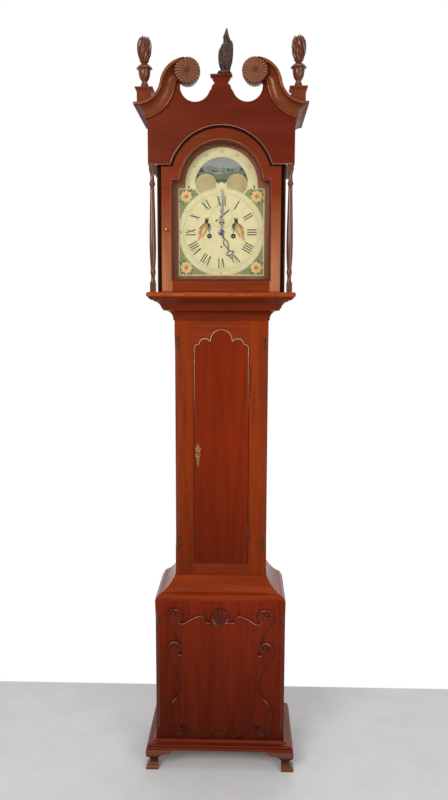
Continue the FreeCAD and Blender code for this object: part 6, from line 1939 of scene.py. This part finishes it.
@dataclass
class Hands:
    """Pierced steel hands for hours and minutes.

    Each bar of a hand has its places across and along the hand, its half width, the share of that at each
    place and whether its mirror image across the hand is made too.
    """

    middle_z: float = 1986.2
    hour_y: float = -80.0
    minute_y: float = -82.0
    hour_turn: float = 157.0
    minute_turn: float = 2.0
    hour_boss: float = 10.5
    minute_boss: float = 8.0
    half_thick: float = 0.5
    collet: Profile = ((6.4, 0), (6.4, 0.7), (5.4, 1.4), (3.4, 2.0), (2.0, 2.2), (2.0, 4.4), (1.2, 5.0))
    hour_bars: Bars = (
        (((0, 8), (0, 17), (0, 27)), 3.4, (0.7, 1.0, 0.45), False),
        (((0, 25), (7, 33), (7.6, 44), (3, 56), (0, 62)), 1.5, (), True),
        (((0, 58), (0, 66), (0, 72)), 2.0, (0.9, 1.0, 0.8), False),
        (((0, 69), (5, 72), (11, 75), (14, 80)), 1.6, (1.0, 1.0, 1.1, 1.6), True),
        (((14, 80), (9, 80), (6.5, 85), (4, 92), (0, 99)), 1.5, (), True),
        (((-6.5, 85), (0, 84), (6.5, 85)), 1.3, (), False),
        (((0, 96), (0, 106), (0, 116)), 2.0, (0.9, 0.9, 0.25), False),
    )
    minute_bars: Bars = (
        (((0, 6), (0, 14), (0, 25)), 3.0, (0.8, 1.0, 0.5), False),
        (((0, 23), (5, 27), (8, 34), (4, 41), (0, 48)), 1.3, (), True),
        (((-8.4, 34), (0, 33), (8.4, 34)), 1.3, (1.5, 1.0, 1.5), False),
        (((0, 46), (0, 56), (0, 66)), 1.7, (), False),
        (((0, 64), (4.6, 70), (4.2, 76), (0, 82)), 1.2, (), True),
        (((0, 80), (0, 88), (0, 115), (0, 138), (0, 147)), 3.0, (0.4, 1.0, 0.8, 0.5, 0.1), False),
    )

    def build(self) -> None:
        """Make both hands and the collet that holds them."""
        hour = self.hand(self.hour_bars, self.hour_boss, self.hour_turn, self.hour_y)
        Bench.fit(hour, "pierced_hour_hand", "hour", "blued_steel", BLUED, "hour_hand")
        minute = self.hand(self.minute_bars, self.minute_boss, self.minute_turn, self.minute_y)
        Bench.fit(minute, "pierced_minute_hand", "minute", "blued_steel", BLUED, "minute_hand")
        place = (0, self.minute_y - self.half_thick, self.middle_z)
        collet = Bench.turned(self.collet, place, Axis.FRONT, 32)
        Bench.fit(collet, "hand_collet", "minute", "blued_steel", BLUED)

    def hand(self, bars: Bars, boss: float, turn: float, y: float) -> Piece:
        """One hand of flat rounded bars.

        Args:
            bars: Its bars.
            boss: Radius of its round middle.
            turn: Clockwise turn of the hand in degrees.
            y: Middle of its thickness.

        Returns:
            The hand.
        """
        half = self.half_thick
        profile = [(boss - 0.4, 0), (boss, 0.4 * half), (boss, 1.4 * half), (boss - 0.8, 2 * half),
                   (2.0, 2 * half)]
        parts = [Bench.turned(profile, (0, y + half, self.middle_z), Axis.FRONT, 40)]
        cos, sin = math.cos(math.radians(turn)), math.sin(math.radians(turn))
        for path, radius, taper, both in bars:
            flat = half / radius
            for side in (1, -1) if both else (1,):
                points = []
                for u, v in path:
                    points.append((side * u * cos + v * sin, y, self.middle_z + v * cos - side * u * sin))
                bar = Bench.tube(points, radius, taper)
                parts.append(Bench.shape(bar, lambda px, py, pz: (px, y + (py - y) * flat, pz)))
        return Bench.join(parts)


def main() -> None:
    """Build the scene in order."""
    logging.basicConfig(level=logging.INFO)
    parts = (Studio(), CarriedParts(), BaseCarving(), CornerStops(), TrunkDoor(), HoodOrnament(), HoodDoor(),
             Dial(), Lines(), Hands())
    for part in parts:
        part.build()
        log.info("%s done", type(part).__name__)


if __name__ == "__main__":
    main()
